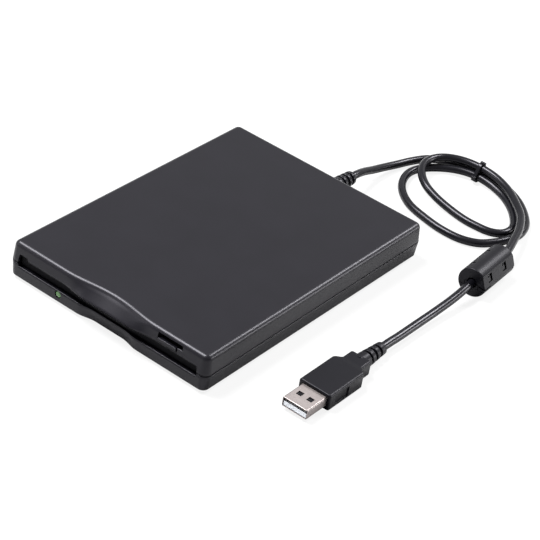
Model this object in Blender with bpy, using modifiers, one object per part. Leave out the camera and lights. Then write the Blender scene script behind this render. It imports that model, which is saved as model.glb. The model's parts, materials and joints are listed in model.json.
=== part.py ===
"""External floppy disk drive with its cord, ferrite clip and plug. Metres, +Z up.

The origin is under the middle of the case, on the surface that the feet stand on. The slot faces
-Y and the cord leaves the back, at +Y. The drive is modelled empty: button in, carrier up.
"""
import math

import bmesh
import bpy
import numpy as np
from mathutils import Matrix, Vector

# Clearances
GAP = 0.0003              # between pieces that touch
SLACK = 0.0006            # round pieces that slide or turn
OVERRUN = 0.0020          # how far a cutter runs past what it cuts
MERGE = 0.00001           # points closer than this are one

# Case
CASE_WIDTH = 0.1040
CASE_DEPTH = 0.1434
CASE_BASE = 0.0012        # base above the surface
SEAM_OVER_LIP = 0.00135   # middle of the seam above the lower lip of the slot
WALL = 0.0015
CORNER = 0.0035           # plan corners
TOP_INSET = 0.0007        # how far the upper shell leans in
TOP_EDGE = 0.0010
BASE_INSET_SIDE = 0.0005
BASE_INSET_FRONT = 0.0004
BASE_INSET_BACK = 0.0015
BASE_EDGE = 0.0008
CORNER_STEPS = 5
EDGE_STEPS = 3

# Front of the case: the brow over the slot and the hollows in the edges
RELIEF_X = 0.0010         # middle of the brow and the hollows
BROW_REACH = 0.0018
BROW_FLAT = 0.0110
BROW_MARGIN = 0.0008      # from the end of the brow to the button
BROW_HEIGHT = 0.0008
TOP_HOLLOW = 0.0024
HOLLOW_MARGIN = 0.0018    # from the end of the hollow to the button
LOW_HOLLOW = 0.0016
LOW_HOLLOW_FLAT = 0.0070
LOW_HOLLOW_RAMP = 0.0090
LIP_HOLLOW_SHARE = 0.5    # how much of the low hollow is left at the seam
RELIEF_STEPS = 16

# Slot and flap
SLOT_MARGIN = 0.0050      # from the side of the case to the end of the slot
SLOT_HEIGHT = 0.0043
SLOT_RISE = 0.00585       # lower lip above the base
NOTCH_WIDTH = 0.0047      # taller left end of the slot
NOTCH_HEIGHT = 0.00125
DOOR_THICK = 0.0007
DOOR_PIN = 0.0005         # radius
DOOR_EAR = 0.0014
DOOR_EAR_DEPTH = 0.0017

# Eject button
BUTTON_FROM_SIDE = 0.0252 # left end of the button, from the right side of the case
BUTTON_WIDTH = 0.0094
BUTTON_HEIGHT = 0.0014
BUTTON_OVER_SLOT = 0.0011
BUTTON_EDGE = 0.0002
POCKET_WIDTH = 0.0124     # finger pocket over the button
POCKET_HEIGHT = 0.0021
POCKET_DEPTH = 0.0028

# Light
LENS_FROM_SIDE = 0.0271   # from the left side of the case
LENS_Z = 0.0050
LENS_RADIUS = 0.00145
LENS_STAND = 0.0002
LENS_FLANGE = 0.0004
LENS_LENGTH = 0.0034
LED_SIZE = 0.0016
LED_LENGTH = 0.0010
LED_BOARD_WIDTH = 0.0080
LED_BOARD_HEIGHT = 0.0026
LED_BOARD_THICK = 0.0008

# Feet and screws
FOOT_RADIUS = 0.0040
FOOT_SINK = 0.0005
FOOT_EDGE = 0.0003
FOOT_INSET_X = 0.0100
FOOT_INSET_Y = 0.0166
SCREW_FROM_SIDE = 0.0080
SCREW_INSET_Y = 0.0076
SCREW_RADIUS = 0.0012
SCREW_HEAD = 0.0024
SCREW_HEAD_THICK = 0.0012
SCREW_LENGTH = 0.0100
SCREW_RECESS = 0.0002
SCREW_SLOT = 0.0006
BOSS_RADIUS = 0.0040
CHASSIS_SCREW_FROM_SIDE = 0.0140
CHASSIS_SCREW_FROM_FRONT = 0.0208
CHASSIS_SCREW_FROM_BACK = 0.0226
CHASSIS_SCREW_RADIUS = 0.0010
CHASSIS_SCREW_HEAD = 0.0020
CHASSIS_SCREW_HEAD_THICK = 0.0006

# Sheet steel frame
SHEET = 0.0006
TRAY_ROOM_SIDE = 0.0018
TRAY_ROOM_FRONT = 0.0036
REAR_BAY = 0.0161         # room behind the frame for the board of the cord
LID_ROOM_FRONT = 0.0036

# Disk carrier
DISK_SIDE_ROOM = 0.0020   # from the end of the slot to the side of the disk
DISK_ROOM = 0.0003
CARRIER_ROOM = 0.0001     # over the top of the slot
LIP_ROOM = 0.00005        # under the lower lip of the slot
LIP_WIDTH = 0.0045
CARRIER_FROM_FRONT = 0.0083
CARRIER_FROM_BACK = 0.0446
HEAD_NOTCH_WIDTH = 0.0120
HEAD_NOTCH_ROOM = 0.0022  # in front of the heads at their innermost track

# Slide plate and its springs
SLIDE_OVER_ARM = 0.00015  # over the arm of the upper head
SLIDE_ROOM = 0.0009       # under the lid of the frame
SLIDE_TRAVEL = 0.0045
SLIDE_FROM_BACK = 0.0466
SLIDE_BRIDGE = 0.0220
SLIDE_ARM = 0.0120
SLIDE_FLANGE_FALL = 0.0064
SPRING_RADIUS = 0.0010
SPRING_LENGTH = 0.0140
SPRING_TAB = 0.0050

# Shutter lever
LEVER_FROM_SIDE = 0.0110
LEVER_FROM_BACK = 0.0526
LEVER_REACH = 0.0260
LEVER_REST = math.radians(267)
LEVER_SWING = math.radians(33)
LEVER_HALF = 0.0022
LEVER_PIN = 0.0010

# Spindle
SPINDLE_FROM_BACK = 0.0906
MOTOR_BASE_SIDE = 0.0400
MOTOR_BASE_THICK = 0.0005
ROTOR_RADIUS = 0.0170
ROTOR_THICK = 0.0006
HUB_RADIUS = 0.0120
HUB_THICK = 0.0004
SHAFT_RADIUS = 0.0020
SHAFT_RISE = 0.0009       # over the hub
DRIVE_PIN_RADIUS = 0.0010
DRIVE_PIN_ORBIT = 0.0085

# Heads and their drive
HEAD_TRAVEL = 0.0148
HEAD_FROM_BACK = 0.0511   # outermost track
HEAD_SIDE = 0.0070
HEAD_HIGH = 0.0010
UPPER_HEAD_HIGH = 0.0007
CARRIAGE_LEFT = -0.0110
CARRIAGE_RIGHT = 0.0120
CARRIAGE_FROM_BACK = 0.0178
CARRIAGE_DEPTH = 0.0108
CARRIAGE_HEIGHT = 0.0040
CARRIAGE_LIFT = 0.0008    # over the floor of the frame
LOWER_ARM_HALF = 0.0045
LOWER_ARM_THICK = 0.0009
FOLLOWER_DEPTH = 0.0012
FOLLOWER_HEIGHT = 0.0020
UPPER_ARM_HALF = 0.0045
UPPER_ARM_THICK = 0.0008
UPPER_ARM_TAIL = 0.0020   # behind the pin
ARM_PIVOT_FROM_BACK = 0.0226
ARM_BARREL = 0.0012
ARM_PIN = 0.0006
ARM_PIN_LENGTH = 0.0018
POST_WIDTH = 0.0026
POST_DEPTH = 0.0040
POST_OVER_PIVOT = 0.0014
ROD_X = 0.0085
ROD_Z = 0.0062
ROD_RADIUS = 0.00125
LUG_ROOM = 0.0002         # between a front lug and the carriage at its innermost
LUG_HALF = 0.0025
LUG_RISE = 0.0020         # over what it carries
STEPPER_X = -0.0170
STEPPER_Z = 0.0092
STEPPER_RADIUS = 0.0051
STEPPER_FROM_BACK = 0.0166
BRACKET_FROM_BACK = 0.0266
BRACKET_HALF = 0.0055
LEAD_RADIUS = 0.0012
LEAD_PITCH = 0.0030
LEAD_THREAD = 0.0002

# Boards
BOARD_THICK = 0.0008
DRIVE_BOARD_ROOM = 0.0040     # beside the carriage
DRIVE_BOARD_FROM_SIDE = 0.0055
DRIVE_BOARD_FROM_BACK = 0.0171
DRIVE_BOARD_DEPTH = 0.0265
CHIP_SIDE = 0.0120
CHIP_THICK = 0.0012
USB_BOARD_HALF = 0.0300
USB_BOARD_FROM_BACK = 0.0048
USB_BOARD_DEPTH = 0.0093
USB_BOARD_RISE = 0.0015   # over the floor of the case
PILLAR_RADIUS = 0.0020
PILLAR_X = 0.0260
PILLAR_FROM_BACK = 0.0091
BRIDGE_SIDE = 0.0070
BRIDGE_X = -0.0120
CRYSTAL_LENGTH = 0.0080
CRYSTAL_WIDTH = 0.0032
CRYSTAL_HEIGHT = 0.0022
CRYSTAL_X = -0.0220
RIBBON_FROM_EDGE = 0.0165 # middle of the ribbon, from the right edge of the drive board
RIBBON_HALF = 0.0070
RIBBON_THICK = 0.0004
RIBBON_OVER = 0.0024      # over the board of the cord
SOCKET_DEPTH = 0.0030
SOCKET_CORD_HALF = 0.0045
SOCKET_CORD_DEPTH = 0.0025
SOCKET_CORD_HEIGHT = 0.0032
CONNECTOR_DEPTH = 0.0022
SWITCH_FROM_SIDE = 0.0160
SWITCH_FROM_FRONT = 0.0133
SWITCH_SIDE = 0.0060
SWITCH_HEIGHT = 0.0021
SWITCH_PIN_RADIUS = 0.0009
SWITCH_PIN_STAND = 0.0007
SWITCH_TRAVEL = 0.0005

# Strain relief, an axis along +Y
CORD_RADIUS = 0.00185
EXIT_X = 0.0022
EXIT_Z = 0.0090
RELIEF_BIG = 0.0043
RELIEF_SMALL = 0.00315
RELIEF_LENGTH = 0.0149
RELIEF_NECK = 0.0033
RELIEF_FLANGE = 0.0052
RELIEF_FLANGE_THICK = 0.0010
RELIEF_GROOVE = 0.0013    # width of a groove, and of the rib between two
RELIEF_GROOVE_FIRST = 0.0030
RELIEF_GROOVE_PITCH = 0.0042
RELIEF_GROOVES = 2
RELIEF_GROOVE_DEEP = 0.0011
TAIL_RADIUS = 0.0015
TAIL_STEPS = 8

# Ferrite clip round the cord
CLIP_X = 0.0824
CLIP_Y = 0.07805
CLIP_Z = 0.0067
CLIP_TURN = math.radians(3.6)
CLIP_LENGTH = 0.0254
CLIP_RADIUS = 0.0067
CLIP_WALL = 0.0013
CLIP_SPLIT = -0.0022      # split of the skin, from the axis
CLIP_SEAT = 0.0034        # half width of the end walls that meet at the axis
CLIP_END = 0.0016
CLIP_BORE = 0.0024
CLIP_EDGE = 0.0004
CLIP_SIDES = 40
LATCH_ANGLE = math.radians(48)
LATCH_FLAT = 0.0008       # how deep the flat cuts into the round
LATCH_WINDOW_ANGLE = math.radians(38)
LATCH_WINDOW_LENGTH = 0.0026
LATCH_WINDOW_WIDTH = 0.0022
LATCH_WINDOW_DEEP = 0.0004
LATCH_WINDOW_FIRST = 0.0042
LATCH_WINDOW_SECOND = 0.0162
HINGE_RADIUS = 0.0007
HINGE_OUT = 0.0002        # axis beyond the round
HINGE_LENGTH = 0.0060

# Plug, an axis along -Y
PLUG_X = 0.0823
PLUG_TAIL_Y = -0.0111     # back end of the grip, where the boot starts
PLUG_FRONT_Y = -0.0416
GRIP_WIDTH = 0.0154
GRIP_HEIGHT = 0.0075
GRIP_EDGE = 0.0010
GRIP_SHOULDER = 0.0035    # length of the slope to the neck
GRIP_NECK = 0.0060        # length of the neck
GRIP_NECK_WIDTH = 0.0100
GRIP_NECK_HEIGHT = 0.0070
PANEL_DEEP = 0.0005
PANEL_LENGTH = 0.0100
PANEL_HEIGHT = 0.0042
PANEL_FROM_FRONT = 0.0040
BOOT_LENGTH = 0.0140
BOOT_BIG = 0.0037
BOOT_SMALL = 0.0027
BOOT_GROOVES = 3
BOOT_GROOVE = 0.0011
BOOT_GROOVE_DEEP = 0.0009
BOOT_GROOVE_FIRST = 0.0030
BOOT_GROOVE_PITCH = 0.0034
SHELL_WIDTH = 0.0120
SHELL_HEIGHT = 0.0045
SHELL_WALL = 0.0003
SHELL_LENGTH = 0.0120
SHELL_SEAT = 0.0080       # length inside the grip
SHELL_WINDOW = 0.0025
SHELL_WINDOW_GAP = 0.0050
SHELL_WINDOW_FROM_FRONT = 0.0050
TONGUE_THICK = 0.0018
TONGUE_SHORT = 0.0010     # how far the tongue stays behind the mouth

# Tie round the three strands
TIE_X = 0.0324
TIE_WIDTH = 0.0022
TIE_THICK = 0.0008
TIE_ROOM = 0.0003         # between the band and a strand
TIE_HEAD = 0.0030
TIE_ARC_STEPS = 8

# Route of the cord from the strain relief to the boot of the plug: centre of the cord
CORD_ROUTE = (
    (0.0022, 0.0881, 0.0090),
    (0.0022, 0.0920, 0.0089),
    (0.0018, 0.0985, 0.0075),
    (0.0018, 0.1060, 0.0054),
    (0.0024, 0.1145, 0.0037),
    (0.0038, 0.1225, 0.0026),
    (0.0060, 0.1310, 0.0021),
    (0.0098, 0.1390, 0.0020),
    (0.0152, 0.1436, 0.0021),
    (0.0222, 0.1463, 0.0026),
    (0.0324, 0.1480, 0.0030),
    (0.0420, 0.1484, 0.0027),
    (0.0505, 0.1463, 0.0021),
    (0.0585, 0.1421, 0.0019),
    (0.0655, 0.1359, 0.0019),
    (0.0713, 0.1281, 0.0019),
    (0.0735, 0.1200, 0.0019),
    (0.0726, 0.1130, 0.0019),
    (0.0696, 0.1057, 0.0019),
    (0.0652, 0.0996, 0.0019),
    (0.0580, 0.0959, 0.0019),
    (0.0480, 0.0953, 0.0019),
    (0.0370, 0.0973, 0.0019),
    (0.0270, 0.1006, 0.0019),
    (0.0186, 0.1068, 0.0019),
    (0.0133, 0.1145, 0.0019),
    (0.0112, 0.1228, 0.0019),
    (0.0129, 0.1303, 0.0019),
    (0.0180, 0.1372, 0.0020),
    (0.0246, 0.1413, 0.0026),
    (0.0324, 0.1434, 0.0030),
    (0.0420, 0.1432, 0.0026),
    (0.0515, 0.1402, 0.0020),
    (0.0592, 0.1346, 0.0019),
    (0.0652, 0.1278, 0.0019),
    (0.0683, 0.1222, 0.0019),
    (0.0688, 0.1182, 0.0019),
    (0.0680, 0.1149, 0.0019),
    (0.0658, 0.1123, 0.0019),
    (0.0622, 0.1106, 0.0019),
    (0.0570, 0.1100, 0.0019),
    (0.0510, 0.1100, 0.0019),
    (0.0430, 0.1112, 0.0021),
    (0.0325, 0.1130, 0.0034),
    (0.0245, 0.1156, 0.0050),
    (0.0183, 0.1210, 0.0060),
    (0.0149, 0.1275, 0.0064),
    (0.0148, 0.1346, 0.0064),
    (0.0178, 0.1403, 0.0063),
    (0.0240, 0.1441, 0.0065),
    (0.0324, 0.1457, 0.0066),
    (0.0420, 0.1449, 0.0065),
    (0.0520, 0.1410, 0.0062),
    (0.0608, 0.1343, 0.0062),
    (0.0686, 0.1266, 0.0062),
    (0.0741, 0.1168, 0.0063),
    (0.0774, 0.1073, 0.0065),
    (0.0800, 0.0990, 0.0067),
    (0.0815, 0.0920, 0.0067),
    (0.0824, 0.0780, 0.0067),
    (0.0833, 0.0640, 0.0065),
    (0.0834, 0.0520, 0.0051),
    (0.0829, 0.0390, 0.0040),
    (0.0826, 0.0260, 0.0037),
    (0.0825, 0.0140, 0.0037),
    (0.0823, 0.0075, 0.00375),
    (0.0823, 0.0032, 0.00375),
)
CORD_STEP = 0.0076        # distance between the points of the tube
CORD_GAP = 0.0004         # least gap to itself

# Heights and planes that follow from the sizes above
FRONT = BROW_REACH / 2 - CASE_DEPTH / 2
BACK = FRONT + CASE_DEPTH
SLOT_LOW = CASE_BASE + SLOT_RISE
SLOT_TOP = SLOT_LOW + SLOT_HEIGHT
SEAM = SLOT_LOW + SEAM_OVER_LIP
LOWER_TOP = SEAM - GAP / 2
UPPER_LOW = SEAM + GAP / 2
INNER_FLOOR = CASE_BASE + WALL
INNER_X = CASE_WIDTH / 2 - TOP_INSET - WALL
INNER_FRONT = FRONT + WALL
INNER_BACK = BACK - BASE_INSET_BACK - WALL
HOLLOW_BACK = FRONT + TOP_INSET + TOP_HOLLOW + WALL
HALF_WIDTH = CASE_WIDTH / 2
SLOT_WIDTH = CASE_WIDTH - 2 * SLOT_MARGIN
DISK_WIDTH = SLOT_WIDTH - 2 * DISK_SIDE_ROOM
BUTTON_LEFT = HALF_WIDTH - BUTTON_FROM_SIDE
LENS_X = LENS_FROM_SIDE - HALF_WIDTH
SCREW_X = HALF_WIDTH - SCREW_FROM_SIDE
CHASSIS_SCREW_X = HALF_WIDTH - CHASSIS_SCREW_FROM_SIDE
TOP_HOLLOW_HALF = BUTTON_LEFT - RELIEF_X - HOLLOW_MARGIN
BROW_RAMP = BUTTON_LEFT - RELIEF_X - BROW_MARGIN - BROW_FLAT
TRAY_X = INNER_X - TRAY_ROOM_SIDE
TRAY_FRONT = INNER_FRONT + TRAY_ROOM_FRONT
TRAY_BACK = BACK - REAR_BAY
TRAY_LOW = INNER_FLOOR + GAP
TRAY_TOP = TRAY_LOW + SHEET
BAY_X = DISK_WIDTH / 2 + DISK_ROOM
CARRIER_X = BAY_X + SHEET
CARRIER_FRONT = FRONT + CARRIER_FROM_FRONT
CARRIER_BACK = BACK - CARRIER_FROM_BACK
CARRIER_LOW = SLOT_TOP + CARRIER_ROOM
CARRIER_TOP = CARRIER_LOW + SHEET
ARM_LOW = CARRIER_TOP + GAP
ARM_TOP = ARM_LOW + UPPER_ARM_THICK
ARM_PIVOT_Z = (ARM_LOW + ARM_TOP) / 2
SLIDE_LOW = ARM_TOP + SLIDE_OVER_ARM
SLIDE_TOP = SLIDE_LOW + SHEET
LID_LOW = SLIDE_TOP + SLIDE_ROOM
LID_TOP = LID_LOW + SHEET
WALL_TOP = LID_LOW - GAP
INNER_CEILING = LID_TOP + GAP
CASE_TOP = INNER_CEILING + WALL
LIP_TOP = SLOT_LOW - LIP_ROOM
SLIDE_X = CARRIER_X + GAP + SHEET
SLIDE_BACK = BACK - SLIDE_FROM_BACK
BUTTON_LOW = SLOT_TOP + BUTTON_OVER_SLOT
DOOR_Y = INNER_FRONT + GAP + DOOR_THICK / 2
DOOR_Z = SLOT_TOP + SLACK - GAP / 2
DOOR_X = SLOT_WIDTH / 2 - GAP
DOOR_LOW = SLOT_LOW + GAP
SLIDE_FRONT = DOOR_Y + DOOR_Z - DOOR_LOW + SLIDE_TRAVEL + SLACK
LEVER_X = LEVER_FROM_SIDE - HALF_WIDTH
LEVER_Y = BACK - LEVER_FROM_BACK
SPINDLE_Y = BACK - SPINDLE_FROM_BACK
MOTOR_LOW = TRAY_TOP + GAP
MOTOR_TOP = MOTOR_LOW + MOTOR_BASE_THICK
ROTOR_LOW = MOTOR_TOP + GAP
ROTOR_TOP = ROTOR_LOW + ROTOR_THICK
HUB_LOW = ROTOR_TOP + GAP
HUB_TOP = HUB_LOW + HUB_THICK
HEAD_Y = BACK - HEAD_FROM_BACK
HEAD_NOTCH_FRONT = HEAD_Y - HEAD_SIDE / 2 - HEAD_TRAVEL - HEAD_NOTCH_ROOM
CARRIAGE_BACK = BACK - CARRIAGE_FROM_BACK
CARRIAGE_FRONT = CARRIAGE_BACK - CARRIAGE_DEPTH
CARRIAGE_LOW = TRAY_TOP + CARRIAGE_LIFT
CARRIAGE_TOP = CARRIAGE_LOW + CARRIAGE_HEIGHT
LUG_FRONT = CARRIAGE_FRONT - HEAD_TRAVEL - LUG_ROOM - SHEET
ROD_FRONT = LUG_FRONT - GAP
BRACKET_FRONT = BACK - BRACKET_FROM_BACK
STEPPER_BACK = BACK - STEPPER_FROM_BACK
ARM_PIVOT_Y = BACK - ARM_PIVOT_FROM_BACK
UPPER_ARM_BACK = ARM_PIVOT_Y + UPPER_ARM_TAIL
LOWER_HEAD_LOW = CARRIAGE_LOW + LOWER_ARM_THICK + GAP
UPPER_HEAD_TOP = ARM_LOW - GAP
USB_BOARD_BACK = BACK - USB_BOARD_FROM_BACK
USB_BOARD_FRONT = USB_BOARD_BACK - USB_BOARD_DEPTH
USB_BOARD_LOW = INNER_FLOOR + USB_BOARD_RISE
USB_BOARD_TOP = USB_BOARD_LOW + BOARD_THICK
PILLAR_Y = BACK - PILLAR_FROM_BACK
DRIVE_BOARD_LEFT = CARRIAGE_RIGHT + DRIVE_BOARD_ROOM
DRIVE_BOARD_RIGHT = HALF_WIDTH - DRIVE_BOARD_FROM_SIDE
DRIVE_BOARD_BACK = BACK - DRIVE_BOARD_FROM_BACK
DRIVE_BOARD_FRONT = DRIVE_BOARD_BACK - DRIVE_BOARD_DEPTH
RIBBON_X = DRIVE_BOARD_RIGHT - RIBBON_FROM_EDGE
SWITCH_X = HALF_WIDTH - SWITCH_FROM_SIDE
SWITCH_Y = FRONT + SWITCH_FROM_FRONT
DRIVE_BOARD_LOW = TRAY_TOP + GAP
DRIVE_BOARD_TOP = DRIVE_BOARD_LOW + BOARD_THICK
RIBBON_LOW = USB_BOARD_TOP + RIBBON_OVER

# Linear colour, roughness and metallic value of each finish
FINISHES = {
    "case_plastic": ((0.036, 0.033, 0.039), 0.48, 0.0),
    "dark_plastic": ((0.022, 0.022, 0.024), 0.40, 0.0),
    "cord_plastic": ((0.010, 0.010, 0.011), 0.28, 0.0),
    "lens_green": ((0.060, 0.420, 0.150), 0.25, 0.0),
    "foot_rubber": ((0.030, 0.030, 0.030), 0.80, 0.0),
    "steel_sheet": ((0.560, 0.570, 0.580), 0.35, 1.0),
    "steel_bright": ((0.620, 0.620, 0.610), 0.22, 1.0),
    "plug_steel": ((0.640, 0.620, 0.570), 0.30, 1.0),
    "board_green": ((0.020, 0.110, 0.050), 0.45, 0.0),
    "socket_white": ((0.700, 0.680, 0.620), 0.50, 0.0),
    "ferrite_grey": ((0.060, 0.060, 0.065), 0.55, 0.0),
}
ROUND_SIDES = 24
FINE_SIDES = 32


def collection(name):
    """A new collection in the scene."""
    found = bpy.data.collections.new(name)
    bpy.context.scene.collection.children.link(found)
    return found


def add_object(name, data, place=(0, 0, 0), group="parts"):
    """Put a mesh or curve in the scene as an object."""
    obj = bpy.data.objects.new(name, data)
    obj.location = place
    GROUPS[group].objects.link(obj)
    if group == "cutters":
        obj.hide_render = True
        obj.display_type = "WIRE"
    return obj


def finish(obj, finish_name):
    """Give an object its own material and smooth shading up to the sharp edges."""
    color, roughness, metallic = FINISHES[finish_name]
    look = bpy.data.materials.new(f"{obj.name}_{finish_name}")
    look.use_nodes = True
    shader = look.node_tree.nodes["Principled BSDF"]
    shader.inputs["Base Color"].default_value = (*color, 1.0)
    shader.inputs["Roughness"].default_value = roughness
    shader.inputs["Metallic"].default_value = metallic
    obj.data.materials.append(look)
    if obj.type == "MESH":
        obj.data.shade_smooth()
        obj.data.set_sharp_from_angle(angle=math.radians(35))
    return obj


def mesh_from(bm, name):
    """Finish a bmesh as mesh data."""
    mesh = bpy.data.meshes.new(name)
    bm.to_mesh(mesh)
    bm.free()
    return mesh


def box(name, low, high, group="parts", edge=0.0):
    """A block between two corners, with rounded edges where an edge radius is given."""
    low, high = Vector(low), Vector(high)
    bm = bmesh.new()
    bmesh.ops.create_cube(bm, size=1)
    bmesh.ops.scale(bm, vec=high - low, verts=bm.verts)
    obj = add_object(name, mesh_from(bm, name), (low + high) / 2, group)
    if edge:
        rounding = obj.modifiers.new("edge", "BEVEL")
        rounding.width = edge
        rounding.segments = 2
    return obj


def rod(name, start, end, radius, group="parts", sides=ROUND_SIDES):
    """A round bar between two points."""
    start, end = Vector(start), Vector(end)
    bm = bmesh.new()
    bmesh.ops.create_cone(
        bm, cap_ends=True, segments=sides, radius1=radius, radius2=radius,
        depth=(end - start).length)
    obj = add_object(name, mesh_from(bm, name), (start + end) / 2, group)
    obj.rotation_euler = (end - start).to_track_quat("Z", "Y").to_euler()
    return obj


def turned(name, profile, place, turn=(0, 0, 0), group="parts", sides=FINE_SIDES, ring=False):
    """Spin a profile of (radius, height) points, top to bottom on its outer side."""
    bm = bmesh.new()
    corners = [bm.verts.new((radius, 0, height)) for radius, height in profile]
    for first, second in zip(corners, corners[1:]):
        bm.edges.new((first, second))
    if ring:
        bm.edges.new((corners[-1], corners[0]))
    obj = add_object(name, mesh_from(bm, name), place, group)
    obj.rotation_euler = turn
    spin = obj.modifiers.new("turn", "SCREW")
    spin.steps = sides
    spin.render_steps = sides
    spin.use_merge_vertices = True
    spin.merge_threshold = MERGE
    return obj


def prism(name, outline, low, high, group="parts"):
    """A flat outline in plan, from one height to another."""
    curve = bpy.data.curves.new(name, "CURVE")
    curve.dimensions = "2D"
    curve.fill_mode = "BOTH"
    curve.extrude = (high - low) / 2
    line = curve.splines.new("POLY")
    line.points.add(len(outline) - 1)
    for point, (x, y) in zip(line.points, outline):
        point.co = (x, y, 0, 1)
    line.use_cyclic_u = True
    return as_mesh(add_object(name, curve, (0, 0, (low + high) / 2), group), group)


def channel(name, outline, front, back, group="parts"):
    """An upright outline of (x, z) points, from one place along Y to another."""
    bar = prism(name, outline, -back, -front, group)
    bar.matrix_world = Matrix.Rotation(math.pi / 2, 4, "X") @ bar.matrix_world
    return bar


def as_mesh(obj, group="parts"):
    """Turn a curve object into a welded mesh object with the same name and place."""
    name = obj.name
    bpy.context.view_layer.update()
    evaluated = obj.evaluated_get(bpy.context.evaluated_depsgraph_get())
    mesh = bpy.data.meshes.new_from_object(evaluated)
    place = obj.matrix_world.copy()
    bpy.data.objects.remove(obj)
    bm = bmesh.new()
    bm.from_mesh(mesh)
    bmesh.ops.remove_doubles(bm, verts=bm.verts, dist=MERGE)
    bmesh.ops.recalc_face_normals(bm, faces=bm.faces)
    bm.to_mesh(mesh)
    bm.free()
    made = add_object(name, mesh, group=group)
    made.matrix_world = place
    return made


def tube(name, points, radius, group="parts"):
    """A round wire through points, with closed ends."""
    curve = bpy.data.curves.new(name, "CURVE")
    curve.dimensions = "3D"
    curve.bevel_depth = radius
    curve.bevel_resolution = 2
    curve.use_fill_caps = True
    line = curve.splines.new("POLY")
    line.points.add(len(points) - 1)
    for point, place in zip(line.points, points):
        point.co = (*place, 1)
    return add_object(name, curve, group=group)


def loft(name, rings, group="parts"):
    """A closed skin over rings of equally many points, bottom to top, anticlockwise from above."""
    bm = bmesh.new()
    rows = [[bm.verts.new(point) for point in ring] for ring in rings]
    count = len(rows[0])
    for below, above in zip(rows, rows[1:]):
        for i in range(count):
            j = (i + 1) % count
            bm.faces.new((below[i], below[j], above[j], above[i]))
    bm.faces.new(rows[0][::-1])
    bm.faces.new(rows[-1])
    return add_object(name, mesh_from(bm, name), group=group)


def combine(obj, tool, operation="DIFFERENCE"):
    """Cut a tool out of an object, or join it to it."""
    step = obj.modifiers.new(operation.lower(), "BOOLEAN")
    step.operation = operation
    step.solver = "EXACT"
    step.object = tool


def rounded_outline(left, right, front, back, radius, steps=CORNER_STEPS):
    """Plan outline of a rectangle with round corners, anticlockwise."""
    corners = ((right, front, -90), (right, back, 0), (left, back, 90), (left, front, 180))
    points = []
    for x, y, start in corners:
        centre_x = x - math.copysign(radius, x - (left + right) / 2)
        centre_y = y - math.copysign(radius, y - (front + back) / 2)
        for step in range(steps + 1):
            angle = math.radians(start + 90 * step / steps)
            points.append((centre_x + radius * math.cos(angle), centre_y + radius * math.sin(angle)))
    return points


def pivot(name, place, children):
    """An empty on a joint's axis that carries the moving pieces."""
    axis = bpy.data.objects.new(name, None)
    axis.empty_display_size = WALL
    axis.location = place
    GROUPS["parts"].objects.link(axis)
    for child in children:
        child.parent = axis
        child.matrix_parent_inverse = Matrix.Translation(place).inverted()
    return axis


def raised(distance, flat, ramp):
    """Share of a relief at a distance from its middle: full over the flat, then down a cosine."""
    way = min(max((abs(distance) - flat) / ramp, 0), 1)
    return (1 + math.cos(math.pi * way)) / 2


def upper_relief(x, z):
    """How far the front of the upper shell is set back at a place."""
    brow_top = SLOT_TOP + BROW_HEIGHT
    rise = min(max((z - brow_top) / (CASE_TOP - TOP_EDGE - brow_top), 0), 1)
    brow = BROW_REACH * raised(x - RELIEF_X, BROW_FLAT, BROW_RAMP)
    hollow = TOP_HOLLOW * raised(x - RELIEF_X, 0, TOP_HOLLOW_HALF)
    return hollow * rise - brow * (1 - rise)


def lower_relief(x, z):
    """How far the front of the lower shell is set back at a place."""
    rise = (z - CASE_BASE) / (LOWER_TOP - CASE_BASE)
    share = 1 - (1 - LIP_HOLLOW_SHARE) * rise
    return LOW_HOLLOW * share * raised(x - RELIEF_X, LOW_HOLLOW_FLAT, LOW_HOLLOW_RAMP)


def case_ring(z, side, front, back, relief):
    """Outline of a shell at one height, from its insets and the relief of its front."""
    edge_x = HALF_WIDTH - side
    ring = rounded_outline(-edge_x, edge_x, FRONT + front, BACK - back, CORNER)
    reach = BROW_FLAT + BROW_RAMP
    for step in range(RELIEF_STEPS + 1):
        x = RELIEF_X + reach * (2 * step / RELIEF_STEPS - 1)
        ring.append((x, FRONT + front + relief(x, z)))
    return [(x, y, z) for x, y in ring]


def upper_rings():
    """Rings of the upper shell, from the seam to the top."""
    brow_top = SLOT_TOP + BROW_HEIGHT
    edge_low = CASE_TOP - TOP_EDGE
    heights = [UPPER_LOW, brow_top]
    heights += [brow_top + (edge_low - brow_top) * step / EDGE_STEPS for step in range(1, EDGE_STEPS)]
    rings = []
    for z in heights:
        lean = TOP_INSET * (z - UPPER_LOW) / (edge_low - UPPER_LOW)
        rings.append(case_ring(z, lean, lean, lean, upper_relief))
    for step in range(EDGE_STEPS + 1):
        angle = math.pi / 2 * step / EDGE_STEPS
        inset = TOP_INSET + TOP_EDGE * (1 - math.cos(angle))
        z = edge_low + TOP_EDGE * math.sin(angle)
        rings.append(case_ring(z, inset, inset, inset, upper_relief))
    return rings


def lower_rings():
    """Rings of the lower shell, from the base to the seam."""
    edge_top = CASE_BASE + BASE_EDGE
    rings = []
    for step in range(EDGE_STEPS + 1):
        angle = math.pi / 2 * step / EDGE_STEPS
        inset = BASE_EDGE * (1 - math.sin(angle))
        rings.append(case_ring(
            edge_top - BASE_EDGE * math.cos(angle), BASE_INSET_SIDE + inset,
            BASE_INSET_FRONT + inset, BASE_INSET_BACK + inset, lower_relief))
    rings.append(case_ring(LOWER_TOP, 0, 0, 0, lower_relief))
    return rings


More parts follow.
